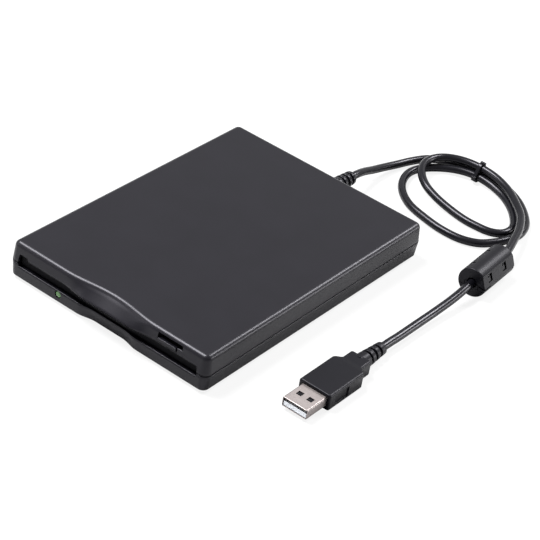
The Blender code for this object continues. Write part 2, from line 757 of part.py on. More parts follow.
def slot_cutters(shell):
    """The slot and its taller left end, to cut out of one shell."""
    reach = FRONT - BROW_REACH - OVERRUN
    end = INNER_FRONT + LOW_HOLLOW + OVERRUN
    left = -SLOT_WIDTH / 2
    slot = box(f"{shell}_slot_cut", (left, reach, SLOT_LOW), (SLOT_WIDTH / 2, end, SLOT_TOP), "cutters")
    notch = box(
        f"{shell}_notch_cut", (left, reach, SLOT_LOW + GAP),
        (left + NOTCH_WIDTH, end, SLOT_TOP + NOTCH_HEIGHT), "cutters")
    return slot, notch


def top_cover():
    """Upper shell: brow, slot, button opening, screw bosses and ears for the flap."""
    cover = loft("top_cover", upper_rings())
    sides = (-INNER_X, INNER_X)
    low_outline = rounded_outline(*sides, INNER_FRONT, INNER_BACK, CORNER - WALL)
    high_outline = rounded_outline(*sides, HOLLOW_BACK, INNER_BACK, CORNER - WALL)
    room = prism("upper_room", low_outline, SEAM - OVERRUN, BUTTON_LOW + WALL, "cutters")
    roof = prism("roof_room", high_outline, SEAM, INNER_CEILING, "cutters")
    combine(cover, room)
    combine(cover, roof)
    for cutter in slot_cutters("upper"):
        combine(cover, cutter)
    right = BUTTON_LEFT + BUTTON_WIDTH + GAP
    combine(cover, box(
        "button_cut", (BUTTON_LEFT - GAP, FRONT - OVERRUN, BUTTON_LOW - GAP),
        (right, HOLLOW_BACK + OVERRUN, BUTTON_LOW + BUTTON_HEIGHT + GAP), "cutters"))
    pocket_low = BUTTON_LOW + BUTTON_HEIGHT
    combine(cover, box(
        "pocket_cut", (BUTTON_LEFT - GAP, FRONT - OVERRUN, pocket_low),
        (BUTTON_LEFT - GAP + POCKET_WIDTH, FRONT + POCKET_DEPTH, pocket_low + POCKET_HEIGHT), "cutters"))
    combine(cover, exit_cutter("upper_exit_cut"))
    for side in (-1, 1):
        ear = door_ear(side)
        combine(cover, ear, "UNION")
        boss = rod(
            f"upper_boss_{side}", (side * SCREW_X, BACK - SCREW_INSET_Y, UPPER_LOW),
            (side * SCREW_X, BACK - SCREW_INSET_Y, INNER_CEILING + WALL / 2), BOSS_RADIUS, "cutters")
        combine(cover, boss, "UNION")
        combine(cover, rod(
            f"upper_hole_{side}", (side * SCREW_X, BACK - SCREW_INSET_Y, SEAM - OVERRUN),
            (side * SCREW_X, BACK - SCREW_INSET_Y, screw_top() + GAP), SCREW_RADIUS + GAP, "cutters"))
        combine(cover, rod(
            f"ear_hole_{side}", (side * (DOOR_X - OVERRUN), DOOR_Y, DOOR_Z),
            (side * (door_ear_x() + DOOR_EAR + OVERRUN), DOOR_Y, DOOR_Z), DOOR_PIN + GAP, "cutters", 16))
    return finish(cover, "case_plastic")


def door_ear_x():
    """Inner face of an ear for the flap."""
    return SLOT_WIDTH / 2 + GAP


def door_ear(side):
    """Ear at one end of the slot, hung from the roof over the front wall."""
    inner, outer = door_ear_x(), door_ear_x() + DOOR_EAR
    low = (min(side * inner, side * outer), INNER_FRONT - WALL / 2, DOOR_Z - DOOR_EAR_DEPTH / 2)
    high = (max(side * inner, side * outer), INNER_FRONT + DOOR_EAR_DEPTH, BUTTON_LOW + WALL + GAP)
    return box(f"door_ear_{side}", low, high, "cutters")


def exit_cutter(name):
    """Round hole for the neck of the strain relief, through the back of both shells."""
    return rod(
        name, (EXIT_X, INNER_BACK - OVERRUN, EXIT_Z), (EXIT_X, BACK + OVERRUN, EXIT_Z),
        RELIEF_NECK + GAP, "cutters")


def screw_top():
    """Tip of a cover screw."""
    return CASE_BASE + SCREW_RECESS + SCREW_HEAD_THICK + SCREW_LENGTH


def bottom_cover():
    """Lower shell: lip of the slot, lens hole, foot recesses, screw bosses and board pillars."""
    cover = loft("bottom_cover", lower_rings())
    room = prism("lower_room", rounded_outline(
        -INNER_X, INNER_X, INNER_FRONT + LOW_HOLLOW, INNER_BACK, CORNER - WALL),
        INNER_FLOOR, SEAM + OVERRUN, "cutters")
    combine(cover, room)
    for cutter in slot_cutters("lower"):
        combine(cover, cutter)
    combine(cover, exit_cutter("lower_exit_cut"))
    combine(cover, rod(
        "lens_cut", (LENS_X, FRONT - OVERRUN, LENS_Z), (LENS_X, INNER_FRONT + OVERRUN + LOW_HOLLOW, LENS_Z),
        LENS_RADIUS + GAP, "cutters"))
    for number, (x, y) in enumerate(foot_places(), 1):
        combine(cover, rod(
            f"foot_cut_{number}", (x, y, CASE_BASE - OVERRUN), (x, y, CASE_BASE + FOOT_SINK),
            FOOT_RADIUS + GAP, "cutters"))
    screw_y = BACK - SCREW_INSET_Y
    for side in (-1, 1):
        combine(cover, rod(
            f"lower_boss_{side}", (side * SCREW_X, screw_y, INNER_FLOOR - WALL / 2),
            (side * SCREW_X, screw_y, LOWER_TOP), BOSS_RADIUS, "cutters"), "UNION")
        combine(cover, rod(
            f"lower_hole_{side}", (side * SCREW_X, screw_y, CASE_BASE - OVERRUN),
            (side * SCREW_X, screw_y, SEAM + OVERRUN), SCREW_RADIUS + GAP, "cutters"))
        combine(cover, rod(
            f"head_hole_{side}", (side * SCREW_X, screw_y, CASE_BASE - OVERRUN),
            (side * SCREW_X, screw_y, CASE_BASE + SCREW_RECESS + SCREW_HEAD_THICK + GAP),
            SCREW_HEAD + GAP, "cutters"))
        combine(cover, rod(
            f"pillar_{side}", (side * PILLAR_X, PILLAR_Y, INNER_FLOOR - WALL / 2),
            (side * PILLAR_X, PILLAR_Y, USB_BOARD_LOW - GAP), PILLAR_RADIUS, "cutters"), "UNION")
    for number, (x, y) in enumerate(chassis_screw_places(), 1):
        combine(cover, rod(
            f"chassis_hole_{number}", (x, y, CASE_BASE - OVERRUN), (x, y, INNER_FLOOR + OVERRUN),
            CHASSIS_SCREW_RADIUS + GAP, "cutters", 16))
        combine(cover, rod(
            f"chassis_head_hole_{number}", (x, y, CASE_BASE - OVERRUN),
            (x, y, CASE_BASE + SCREW_RECESS + CHASSIS_SCREW_HEAD_THICK + GAP),
            CHASSIS_SCREW_HEAD + GAP, "cutters", 16))
    return finish(cover, "case_plastic")


def foot_places():
    """Middles of the four feet."""
    x = CASE_WIDTH / 2 - FOOT_INSET_X
    return [
        (side * x, y) for side in (-1, 1)
        for y in (FRONT + FOOT_INSET_Y - BROW_REACH, BACK - FOOT_INSET_Y)]


def chassis_screw_places():
    """Middles of the two screws that hold the frame, across its corners."""
    return [
        (-CHASSIS_SCREW_X, FRONT + CHASSIS_SCREW_FROM_FRONT),
        (CHASSIS_SCREW_X, BACK - CHASSIS_SCREW_FROM_BACK)]


def feet():
    """Four round rubber feet, each in a shallow recess of the base."""
    high = CASE_BASE + FOOT_SINK - GAP
    profile = (
        (0, high), (FOOT_RADIUS, high), (FOOT_RADIUS, FOOT_EDGE),
        (FOOT_RADIUS - FOOT_EDGE, 0), (0, 0))
    for number, (x, y) in enumerate(foot_places(), 1):
        finish(turned(f"rubber_foot_{number}", profile, (x, y, 0)), "foot_rubber")


def screw(name, place, radius, head, head_thick, length):
    """A slotted screw that points up, its head sunk in the base."""
    low = CASE_BASE + SCREW_RECESS
    neck = low + head_thick
    tip = neck + length
    profile = ((0, tip), (radius, tip), (radius, neck), (head, neck), (head, low), (0, low))
    made = turned(name, profile, (*place, 0), sides=ROUND_SIDES)
    x, y = place
    combine(made, box(
        f"{name}_slot", (x - head * 2, y - SCREW_SLOT / 2, low - OVERRUN),
        (x + head * 2, y + SCREW_SLOT / 2, low + head_thick / 2), "cutters"))
    return made


def screws():
    """Two screws through the covers and two that hold the frame."""
    for number, side in enumerate((-1, 1), 1):
        finish(screw(
            f"case_screw_{number}", (side * SCREW_X, BACK - SCREW_INSET_Y), SCREW_RADIUS,
            SCREW_HEAD, SCREW_HEAD_THICK, SCREW_LENGTH), "steel_bright")
    length = TRAY_TOP - CASE_BASE - SCREW_RECESS - CHASSIS_SCREW_HEAD_THICK
    sizes = (CHASSIS_SCREW_RADIUS, CHASSIS_SCREW_HEAD, CHASSIS_SCREW_HEAD_THICK, length)
    for number, place in enumerate(chassis_screw_places(), 1):
        finish(screw(f"chassis_screw_{number}", place, *sizes), "steel_bright")


def slot_door():
    """Flap behind the slot, with a pin at each end of its top edge."""
    door = box(
        "slot_door", (-DOOR_X, DOOR_Y - DOOR_THICK / 2, DOOR_LOW), (DOOR_X, DOOR_Y + DOOR_THICK / 2, DOOR_Z),
        edge=DOOR_THICK / 4)
    reach = door_ear_x() + DOOR_EAR - GAP
    combine(door, rod(
        "door_pins", (-reach, DOOR_Y, DOOR_Z), (reach, DOOR_Y, DOOR_Z), DOOR_PIN, "cutters", 16), "UNION")
    pivot("door_hinge", (0, DOOR_Y, DOOR_Z), [finish(door, "dark_plastic")])


def led():
    """Lens in the front wall, with the lamp and its small board behind it."""
    front = FRONT + BASE_INSET_FRONT - LENS_STAND
    inner = INNER_FRONT + LOW_HOLLOW + GAP
    profile = (
        (0, 0), (LENS_RADIUS - LENS_STAND, 0), (LENS_RADIUS, -LENS_STAND), (LENS_RADIUS, front - inner),
        (LENS_RADIUS + LENS_FLANGE, front - inner), (LENS_RADIUS + LENS_FLANGE, -LENS_LENGTH - LENS_FLANGE),
        (0, -LENS_LENGTH - LENS_FLANGE))
    lens = turned("led_lens", profile, (LENS_X, front, LENS_Z), (math.pi / 2, 0, 0), sides=ROUND_SIDES)
    finish(lens, "lens_green")
    chip_front = front + LENS_LENGTH + LENS_FLANGE + GAP
    chip_back = chip_front + LED_LENGTH
    half = LED_SIZE / 2
    finish(box(
        "led_chip", (LENS_X - half, chip_front, LENS_Z - half), (LENS_X + half, chip_back, LENS_Z + half)),
        "socket_white")
    board_low = TRAY_TOP + GAP
    finish(box(
        "led_board", (LENS_X - LED_BOARD_WIDTH / 2, chip_back + GAP, board_low),
        (LENS_X + LED_BOARD_WIDTH / 2, chip_back + GAP + LED_BOARD_THICK, board_low + LED_BOARD_HEIGHT)),
        "board_green")


def lug(name, x, half, front, top, hole_z, hole_radius):
    """Upright tongue of the frame's floor with a hole along Y, as one cutter body."""
    plate = box(name, (x - half, front, TRAY_TOP - SHEET / 2), (x + half, front + SHEET, top), "cutters")
    combine(plate, rod(
        f"{name}_hole", (x, front - OVERRUN, hole_z), (x, front + OVERRUN, hole_z), hole_radius,
        "cutters", 16))
    return plate


def chassis_tray():
    """Sheet frame: floor, two side walls, and the tongues for the rod and the screw."""
    inner = TRAY_X - SHEET
    tray = channel("chassis_tray", (
        (-TRAY_X, TRAY_LOW), (TRAY_X, TRAY_LOW), (TRAY_X, WALL_TOP), (inner, WALL_TOP), (inner, TRAY_TOP),
        (-inner, TRAY_TOP), (-inner, WALL_TOP), (-TRAY_X, WALL_TOP)), TRAY_FRONT, TRAY_BACK)
    rod_top = ROD_Z + LUG_RISE
    rod_hole = ROD_RADIUS + GAP
    lead_hole = LEAD_RADIUS + LEAD_THREAD + GAP
    tongues = (
        lug("rod_lug_front", ROD_X, LUG_HALF, LUG_FRONT, rod_top, ROD_Z, rod_hole),
        lug("rod_lug_back", ROD_X, LUG_HALF, TRAY_BACK - SHEET * 2, rod_top, ROD_Z, rod_hole),
        lug("lead_lug", STEPPER_X, LUG_HALF, LUG_FRONT, STEPPER_Z + LUG_RISE, STEPPER_Z, lead_hole),
        lug("stepper_lug", STEPPER_X, BRACKET_HALF, BRACKET_FRONT, STEPPER_Z + STEPPER_RADIUS, STEPPER_Z,
            lead_hole))
    for tongue in tongues:
        combine(tray, tongue, "UNION")
    tab_front = spring_front() + SPRING_LENGTH + GAP
    for side in (-1, 1):
        inner, outer = side * (spring_x() - SPRING_TAB / 2), side * (TRAY_X - SHEET / 2)
        combine(tray, box(
            f"spring_tab_{side}", (min(inner, outer), tab_front, WALL_TOP - SPRING_TAB / 2),
            (max(inner, outer), tab_front + SHEET, WALL_TOP - GAP), "cutters"), "UNION")
    for number, (x, y) in enumerate(chassis_screw_places(), 1):
        combine(tray, rod(
            f"tray_hole_{number}", (x, y, TRAY_LOW - OVERRUN), (x, y, TRAY_TOP + OVERRUN),
            CHASSIS_SCREW_RADIUS + GAP, "cutters", 16))
    return finish(tray, "steel_sheet")


def chassis_lid():
    """Flat sheet over the frame's walls."""
    finish(box(
        "chassis_lid", (-TRAY_X, INNER_FRONT + LID_ROOM_FRONT, LID_LOW), (TRAY_X, TRAY_BACK, LID_TOP)),
        "steel_sheet")


def arc_outline(centre, inner, outer, start, end, steps=10):
    """Plan outline of a stretch of a flat ring."""
    outside, inside = [], []
    for step in range(steps + 1):
        angle = start + (end - start) * step / steps
        ray = (math.cos(angle), math.sin(angle))
        outside.append((centre[0] + outer * ray[0], centre[1] + outer * ray[1]))
        inside.append((centre[0] + inner * ray[0], centre[1] + inner * ray[1]))
    return outside + inside[::-1]


def disk_carrier():
    """Sheet cage: roof with the head notch and the lever's slot, side walls and lips under the disk."""
    lip, lip_low = BAY_X - LIP_WIDTH, LIP_TOP - SHEET
    right = (
        (lip, lip_low), (CARRIER_X, lip_low), (CARRIER_X, CARRIER_TOP))
    left = tuple((-x, z) for x, z in right[::-1])
    inside = ((-lip, LIP_TOP), (-BAY_X, LIP_TOP), (-BAY_X, CARRIER_LOW))
    inside += tuple((-x, z) for x, z in inside[::-1])
    carrier = channel("disk_carrier", right + left + inside, CARRIER_FRONT, CARRIER_BACK)
    half = HEAD_NOTCH_WIDTH / 2
    combine(carrier, box(
        "head_notch", (-half, HEAD_NOTCH_FRONT, CARRIER_LOW - OVERRUN),
        (half, CARRIER_BACK + OVERRUN, CARRIER_TOP + OVERRUN), "cutters"))
    room = LEVER_PIN + SLACK
    spare = room / LEVER_REACH
    combine(carrier, prism("lever_slot", arc_outline(
        (LEVER_X, LEVER_Y), LEVER_REACH - room, LEVER_REACH + room,
        LEVER_REST - spare, LEVER_REST + LEVER_SWING + spare),
        CARRIER_LOW - OVERRUN, CARRIER_TOP + OVERRUN, "cutters"))
    combine(carrier, rod(
        "lever_hole", (LEVER_X, LEVER_Y, CARRIER_LOW - OVERRUN), (LEVER_X, LEVER_Y, CARRIER_TOP + OVERRUN),
        LEVER_PIN + GAP, "cutters", 16))
    return finish(carrier, "steel_sheet")


def shutter_lever():
    """Arm on the carrier's roof whose pin reaches through the slot and opens the disk's shutter."""
    low = CARRIER_TOP + GAP
    ray = Vector((math.cos(LEVER_REST), math.sin(LEVER_REST)))
    across = Vector((-ray.y, ray.x)) * LEVER_HALF
    hub, tip = Vector((LEVER_X, LEVER_Y)), Vector((LEVER_X, LEVER_Y)) + ray * LEVER_REACH
    back, front = hub - ray * LEVER_HALF, tip + ray * LEVER_HALF
    lever = prism(
        "shutter_lever", [back - across, front - across, front + across, back + across], low, low + SHEET)
    middle = low + SHEET / 2
    for pin_name, place, end in (
            ("lever_pin", tip, CARRIER_LOW - SLOT_HEIGHT / 2), ("lever_stud", hub, CARRIER_LOW - SHEET)):
        pin = rod(pin_name, (*place, end), (*place, middle), LEVER_PIN, "cutters", 16)
        combine(lever, pin, "UNION")
    pivot("lever_axis", (LEVER_X, LEVER_Y, low), [finish(lever, "steel_sheet")])


def slide():
    """Slide plate over the carrier, with a flange down each side, and the button at its front."""
    inner, low = SLIDE_X - SHEET, SLIDE_LOW - SLIDE_FLANGE_FALL
    plate = channel("slide_plate", (
        (inner, SLIDE_LOW), (inner, low), (SLIDE_X, low), (SLIDE_X, SLIDE_TOP), (-SLIDE_X, SLIDE_TOP),
        (-SLIDE_X, low), (-inner, low), (-inner, SLIDE_LOW)), SLIDE_FRONT, SLIDE_BACK)
    arm = SLIDE_X - SLIDE_ARM
    combine(plate, box(
        "slide_opening", (-arm, SLIDE_FRONT + SLIDE_BRIDGE, SLIDE_LOW - OVERRUN),
        (arm, SLIDE_BACK + OVERRUN, SLIDE_TOP + OVERRUN), "cutters"))
    finish(plate, "steel_sheet")
    button = box(
        "eject_button", (BUTTON_LEFT, FRONT, BUTTON_LOW),
        (BUTTON_LEFT + BUTTON_WIDTH, SLIDE_FRONT - GAP, BUTTON_LOW + BUTTON_HEIGHT), edge=BUTTON_EDGE)
    finish(button, "case_plastic")


def spring_x():
    """Middle of a slide spring."""
    return SLIDE_X - SLIDE_ARM / 2


def spring_front():
    """Front end of a slide spring."""
    return SLIDE_BACK + GAP


def slide_springs():
    """Two springs between the slide plate and tabs of the frame."""
    x = spring_x()
    z = (SLIDE_LOW + SLIDE_TOP) / 2
    front = spring_front()
    for name, side in (("left", -1), ("right", 1)):
        finish(rod(
            f"slide_spring_{name}", (side * x, front, z), (side * x, front + SPRING_LENGTH, z), SPRING_RADIUS,
            sides=12), "steel_bright")


def spindle():
    """Flat motor on the frame's floor: base, rotor, hub, shaft and drive pin."""
    half = MOTOR_BASE_SIDE / 2
    finish(box(
        "spindle_motor_base", (-half, SPINDLE_Y - half, MOTOR_LOW), (half, SPINDLE_Y + half, MOTOR_TOP)),
        "steel_sheet")
    shaft_room = SHAFT_RADIUS + GAP
    place = (0, SPINDLE_Y, 0)
    rotor = turned("spindle_rotor", (
        (shaft_room, ROTOR_TOP), (ROTOR_RADIUS, ROTOR_TOP), (ROTOR_RADIUS, ROTOR_LOW),
        (shaft_room, ROTOR_LOW)), place, ring=True)
    hub = turned("spindle_hub", (
        (shaft_room, HUB_TOP), (HUB_RADIUS, HUB_TOP), (HUB_RADIUS, HUB_LOW), (shaft_room, HUB_LOW)),
        place, ring=True)
    combine(hub, rod(
        "drive_pin_hole", (DRIVE_PIN_ORBIT, SPINDLE_Y, HUB_LOW - OVERRUN),
        (DRIVE_PIN_ORBIT, SPINDLE_Y, HUB_TOP + OVERRUN), DRIVE_PIN_RADIUS + GAP, "cutters", 16))
    tip = HUB_TOP + SHAFT_RISE
    shaft = turned("spindle_shaft", (
        (0, tip), (SHAFT_RADIUS - GAP, tip), (SHAFT_RADIUS, tip - GAP), (SHAFT_RADIUS, ROTOR_LOW),
        (0, ROTOR_LOW)), place, sides=ROUND_SIDES)
    orbit = (DRIVE_PIN_ORBIT, SPINDLE_Y)
    pin = rod("drive_pin", (*orbit, HUB_LOW), (*orbit, tip), DRIVE_PIN_RADIUS, sides=16)
    pieces = [finish(rotor, "steel_sheet"), finish(hub, "steel_bright"), finish(shaft, "steel_bright")]
    pivot("spindle_axis", (0, SPINDLE_Y, ROTOR_LOW), pieces + [finish(pin, "steel_bright")])


def head_carriage():
    """Carriage on its rod, with the lower arm, the follower of the screw and two posts."""
    body = box(
        "head_carriage", (CARRIAGE_LEFT, CARRIAGE_FRONT, CARRIAGE_LOW),
        (CARRIAGE_RIGHT, CARRIAGE_BACK, CARRIAGE_TOP))
    combine(body, box(
        "lower_arm", (-LOWER_ARM_HALF, HEAD_Y - HEAD_SIDE / 2, CARRIAGE_LOW),
        (LOWER_ARM_HALF, CARRIAGE_FRONT + WALL, CARRIAGE_LOW + LOWER_ARM_THICK), "cutters"), "UNION")
    for side in (-1, 1):
        inner = side * (UPPER_ARM_HALF + GAP)
        outer = inner + side * POST_WIDTH
        combine(body, box(
            f"post_{side}", (min(inner, outer), ARM_PIVOT_Y - POST_DEPTH / 2, CARRIAGE_TOP - WALL),
            (max(inner, outer), ARM_PIVOT_Y + POST_DEPTH / 2, ARM_PIVOT_Z + POST_OVER_PIVOT), "cutters"),
            "UNION")
        combine(body, rod(
            f"post_hole_{side}", (inner - side * OVERRUN, ARM_PIVOT_Y, ARM_PIVOT_Z),
            (outer + side * OVERRUN, ARM_PIVOT_Y, ARM_PIVOT_Z), ARM_PIN + GAP, "cutters", 16))
    screw_side = STEPPER_X + LEAD_RADIUS + LEAD_THREAD + GAP
    combine(body, box(
        "follower", (screw_side, CARRIAGE_FRONT + GAP, STEPPER_Z - FOLLOWER_HEIGHT),
        (CARRIAGE_LEFT + WALL, CARRIAGE_FRONT + GAP + FOLLOWER_DEPTH, STEPPER_Z + FOLLOWER_HEIGHT / 2),
        "cutters"), "UNION")
    combine(body, rod(
        "rod_hole", (ROD_X, CARRIAGE_FRONT - OVERRUN, ROD_Z), (ROD_X, CARRIAGE_BACK + OVERRUN, ROD_Z),
        ROD_RADIUS + GAP, "cutters"))
    return finish(body, "dark_plastic")


def upper_head_arm():
    """Arm over the disk, on a pin between the posts of the carriage."""
    arm = box(
        "upper_head_arm", (-UPPER_ARM_HALF, HEAD_Y - HEAD_SIDE / 2, ARM_LOW),
        (UPPER_ARM_HALF, UPPER_ARM_BACK, ARM_TOP))
    combine(arm, rod(
        "arm_barrel", (-UPPER_ARM_HALF, ARM_PIVOT_Y, ARM_PIVOT_Z), (UPPER_ARM_HALF, ARM_PIVOT_Y, ARM_PIVOT_Z),
        ARM_BARREL, "cutters"), "UNION")
    reach = UPPER_ARM_HALF + ARM_PIN_LENGTH
    combine(arm, rod(
        "arm_pins", (-reach, ARM_PIVOT_Y, ARM_PIVOT_Z), (reach, ARM_PIVOT_Y, ARM_PIVOT_Z), ARM_PIN, "cutters",
        16), "UNION")
    return finish(arm, "steel_sheet")


def heads():
    """Carriage and arms with the two heads, on empties at the travel and at the arm's pin."""
    half = HEAD_SIDE / 2
    near, far = (-half, HEAD_Y - half), (half, HEAD_Y + half)
    lower = box("lower_head", (*near, LOWER_HEAD_LOW), (*far, LOWER_HEAD_LOW + HEAD_HIGH), edge=GAP)
    upper = box("upper_head", (*near, UPPER_HEAD_TOP - UPPER_HEAD_HIGH), (*far, UPPER_HEAD_TOP), edge=GAP)
    axis = pivot(
        "arm_axis", (0, ARM_PIVOT_Y, ARM_PIVOT_Z), [upper_head_arm(), finish(upper, "ferrite_grey")])
    pivot("head_slide", (0, CARRIAGE_FRONT, ROD_Z), [head_carriage(), finish(lower, "ferrite_grey"), axis])


def head_drive():
    """Rod that guides the carriage, screw that moves it and the motor that turns the screw."""
    guide = rod("guide_rod", (ROD_X, ROD_FRONT, ROD_Z), (ROD_X, TRAY_BACK - SHEET / 2, ROD_Z), ROD_RADIUS)
    finish(guide, "steel_bright")
    turns = (BRACKET_FRONT - LUG_FRONT) / LEAD_PITCH
    profile = [(0, 0), (LEAD_RADIUS, 0)]
    for turn in range(int(turns)):
        low = -(turn + 0.5) * LEAD_PITCH
        profile += [(LEAD_RADIUS, low), (LEAD_RADIUS + LEAD_THREAD, low - LEAD_THREAD),
                    (LEAD_RADIUS, low - LEAD_THREAD * 2)]
    end = LUG_FRONT - BRACKET_FRONT - SHEET
    profile += [(LEAD_RADIUS, end), (0, end)]
    screw_piece = turned(
        "lead_screw", profile, (STEPPER_X, LUG_FRONT, STEPPER_Z), (math.pi / 2, 0, 0), sides=16)
    finish(screw_piece, "steel_bright")
    front = BRACKET_FRONT + SHEET + GAP
    body = rod(
        "stepper_motor", (STEPPER_X, front, STEPPER_Z), (STEPPER_X, STEPPER_BACK, STEPPER_Z), STEPPER_RADIUS)
    finish(body, "steel_sheet")


def switches():
    """Two switches on the frame's floor under the disk, each with a pin that the disk presses."""
    for name, side in (("media", 1), ("protect", -1)):
        x, half = side * SWITCH_X, SWITCH_SIDE / 2
        low = TRAY_TOP + GAP
        top = low + SWITCH_HEIGHT
        body = box(
            f"{name}_switch", (x - half, SWITCH_Y - half, low), (x + half, SWITCH_Y + half, top), edge=GAP)
        combine(body, rod(
            f"{name}_pin_hole", (x, SWITCH_Y, low + SWITCH_HEIGHT / 3), (x, SWITCH_Y, top + OVERRUN),
            SWITCH_PIN_RADIUS + GAP, "cutters", 16))
        finish(body, "dark_plastic")
        pin = rod(
            f"{name}_switch_pin", (x, SWITCH_Y, low + SWITCH_HEIGHT / 3 + GAP + SWITCH_TRAVEL),
            (x, SWITCH_Y, top + SWITCH_PIN_STAND), SWITCH_PIN_RADIUS, sides=16)
        pivot(f"{name}_pin_axis", (x, SWITCH_Y, top), [finish(pin, "socket_white")])


def boards():
    """Drive board in the frame, board of the cord behind it, and the ribbon between them."""
    finish(box(
        "drive_board", (DRIVE_BOARD_LEFT, DRIVE_BOARD_FRONT, DRIVE_BOARD_LOW),
        (DRIVE_BOARD_RIGHT, DRIVE_BOARD_BACK, DRIVE_BOARD_TOP)), "board_green")
    chip_x = (DRIVE_BOARD_LEFT + DRIVE_BOARD_RIGHT) / 2
    chip_y = DRIVE_BOARD_FRONT + CHIP_SIDE
    half = CHIP_SIDE / 2
    low = DRIVE_BOARD_TOP + GAP
    near, far = (chip_x - half, chip_y - half, low), (chip_x + half, chip_y + half, low + CHIP_THICK)
    finish(box("controller_chip", near, far, edge=GAP), "dark_plastic")
    finish(box(
        "usb_board", (-USB_BOARD_HALF, USB_BOARD_FRONT, USB_BOARD_LOW),
        (RIBBON_X + RIBBON_HALF, USB_BOARD_BACK, USB_BOARD_TOP)), "board_green")
    deck = USB_BOARD_TOP + GAP
    middle = (USB_BOARD_FRONT + USB_BOARD_BACK) / 2
    half = BRIDGE_SIDE / 2
    near, far = (BRIDGE_X - half, middle - half, deck), (BRIDGE_X + half, middle + half, deck + CHIP_THICK)
    finish(box("bridge_chip", near, far, edge=GAP), "dark_plastic")
    crystal = prism("crystal", rounded_outline(
        CRYSTAL_X - CRYSTAL_WIDTH / 2, CRYSTAL_X + CRYSTAL_WIDTH / 2, middle - CRYSTAL_LENGTH / 2,
        middle + CRYSTAL_LENGTH / 2, CRYSTAL_WIDTH / 2 - GAP), deck, deck + CRYSTAL_HEIGHT)
    finish(crystal, "steel_bright")
    left, right = RIBBON_X - RIBBON_HALF, RIBBON_X + RIBBON_HALF
    drive_socket_front = DRIVE_BOARD_BACK - SOCKET_DEPTH
    finish(box(
        "drive_ribbon_socket", (left, drive_socket_front, low), (right, DRIVE_BOARD_BACK, RIBBON_LOW - GAP)),
        "socket_white")
    usb_socket_back = USB_BOARD_FRONT + SOCKET_DEPTH
    finish(box(
        "usb_ribbon_socket", (left, USB_BOARD_FRONT, deck), (right, usb_socket_back, RIBBON_LOW - GAP)),
        "socket_white")
    finish(box(
        "board_ribbon", (left + GAP, drive_socket_front, RIBBON_LOW),
        (right - GAP, usb_socket_back, RIBBON_LOW + RIBBON_THICK)), "socket_white")
    socket_back = USB_BOARD_FRONT + SOCKET_CORD_DEPTH
    top = deck + SOCKET_CORD_HEIGHT
    finish(box(
        "cord_socket", (EXIT_X - SOCKET_CORD_HALF, USB_BOARD_FRONT, deck),
        (EXIT_X + SOCKET_CORD_HALF, socket_back, top)), "socket_white")
    finish(box(
        "cord_connector", (EXIT_X - SOCKET_CORD_HALF, socket_back + GAP, deck),
        (EXIT_X + SOCKET_CORD_HALF, socket_back + GAP + CONNECTOR_DEPTH, top), edge=GAP), "socket_white")


def strain_relief():
    """Tapered sleeve with grooves behind the case, a neck in the wall and a flange inside."""
    root = BACK + GAP
    end = root + RELIEF_LENGTH

    def radius(y):
        return RELIEF_BIG + (RELIEF_SMALL - RELIEF_BIG) * (y - root) / RELIEF_LENGTH

    profile = [(0, end), (RELIEF_SMALL - GAP, end), (radius(end - GAP), end - GAP)]
    for groove in reversed(range(RELIEF_GROOVES)):
        low = root + RELIEF_GROOVE_FIRST + groove * RELIEF_GROOVE_PITCH
        high = low + RELIEF_GROOVE
        profile += [
            (radius(high), high), (radius(high) - RELIEF_GROOVE_DEEP, high),
            (radius(low) - RELIEF_GROOVE_DEEP, low), (radius(low), low)]
    flange_back = INNER_BACK - GAP
    flange_front = flange_back - RELIEF_FLANGE_THICK
    profile += [
        (RELIEF_BIG, root), (RELIEF_NECK, root), (RELIEF_NECK, flange_back), (RELIEF_FLANGE, flange_back),
        (RELIEF_FLANGE, flange_front), (0, flange_front)]
    finish(turned("strain_relief", profile, (EXIT_X, 0, EXIT_Z), (-math.pi / 2, 0, 0)), "dark_plastic")
    start_y = USB_BOARD_FRONT + SOCKET_CORD_DEPTH + CONNECTOR_DEPTH + 2 * GAP
    start_z = USB_BOARD_TOP + GAP + SOCKET_CORD_HEIGHT / 2
    end_y = flange_front - GAP
    points = []
    for step in range(TAIL_STEPS + 1):
        way = step / TAIL_STEPS
        lift = (1 - math.cos(math.pi * way)) / 2
        points.append((EXIT_X, start_y + (end_y - start_y) * way, start_z + (EXIT_Z - start_z) * lift))
    finish(tube("cord_tail", points, TAIL_RADIUS), "cord_plastic")


def smooth_route(points, steps=40):
    """Points along the centripetal Catmull-Rom curve through a route."""
    route = np.array(points)
    ends = np.vstack((2 * route[0] - route[1], route, 2 * route[-1] - route[-2]))
    way = np.linspace(0, 1, steps, endpoint=False)[:, None]
    curve = []
    for before, start, end, after in zip(ends, ends[1:], ends[2:], ends[3:]):
        a, b, c = (np.linalg.norm(q - p) ** 0.5 for p, q in ((before, start), (start, end), (end, after)))
        leave = ((start - before) / a - (end - before) / (a + b) + (end - start) / b) * b
        reach = ((end - start) / b - (after - start) / (b + c) + (after - end) / c) * b
        curve.append(
            (2 * way**3 - 3 * way**2 + 1) * start + (way**3 - 2 * way**2 + way) * leave
            + (3 * way**2 - 2 * way**3) * end + (way**3 - way**2) * reach)
    return np.vstack(curve + [route[-1:]])


def even_points(curve, spacing):
    """The curve again with evenly spaced points."""
    way = np.concatenate(([0], np.cumsum(np.linalg.norm(np.diff(curve, axis=0), axis=1))))
    marks = np.linspace(0, way[-1], round(way[-1] / spacing) + 1)
    return np.stack([np.interp(marks, way, curve[:, axis]) for axis in range(3)], axis=1), way[-1]


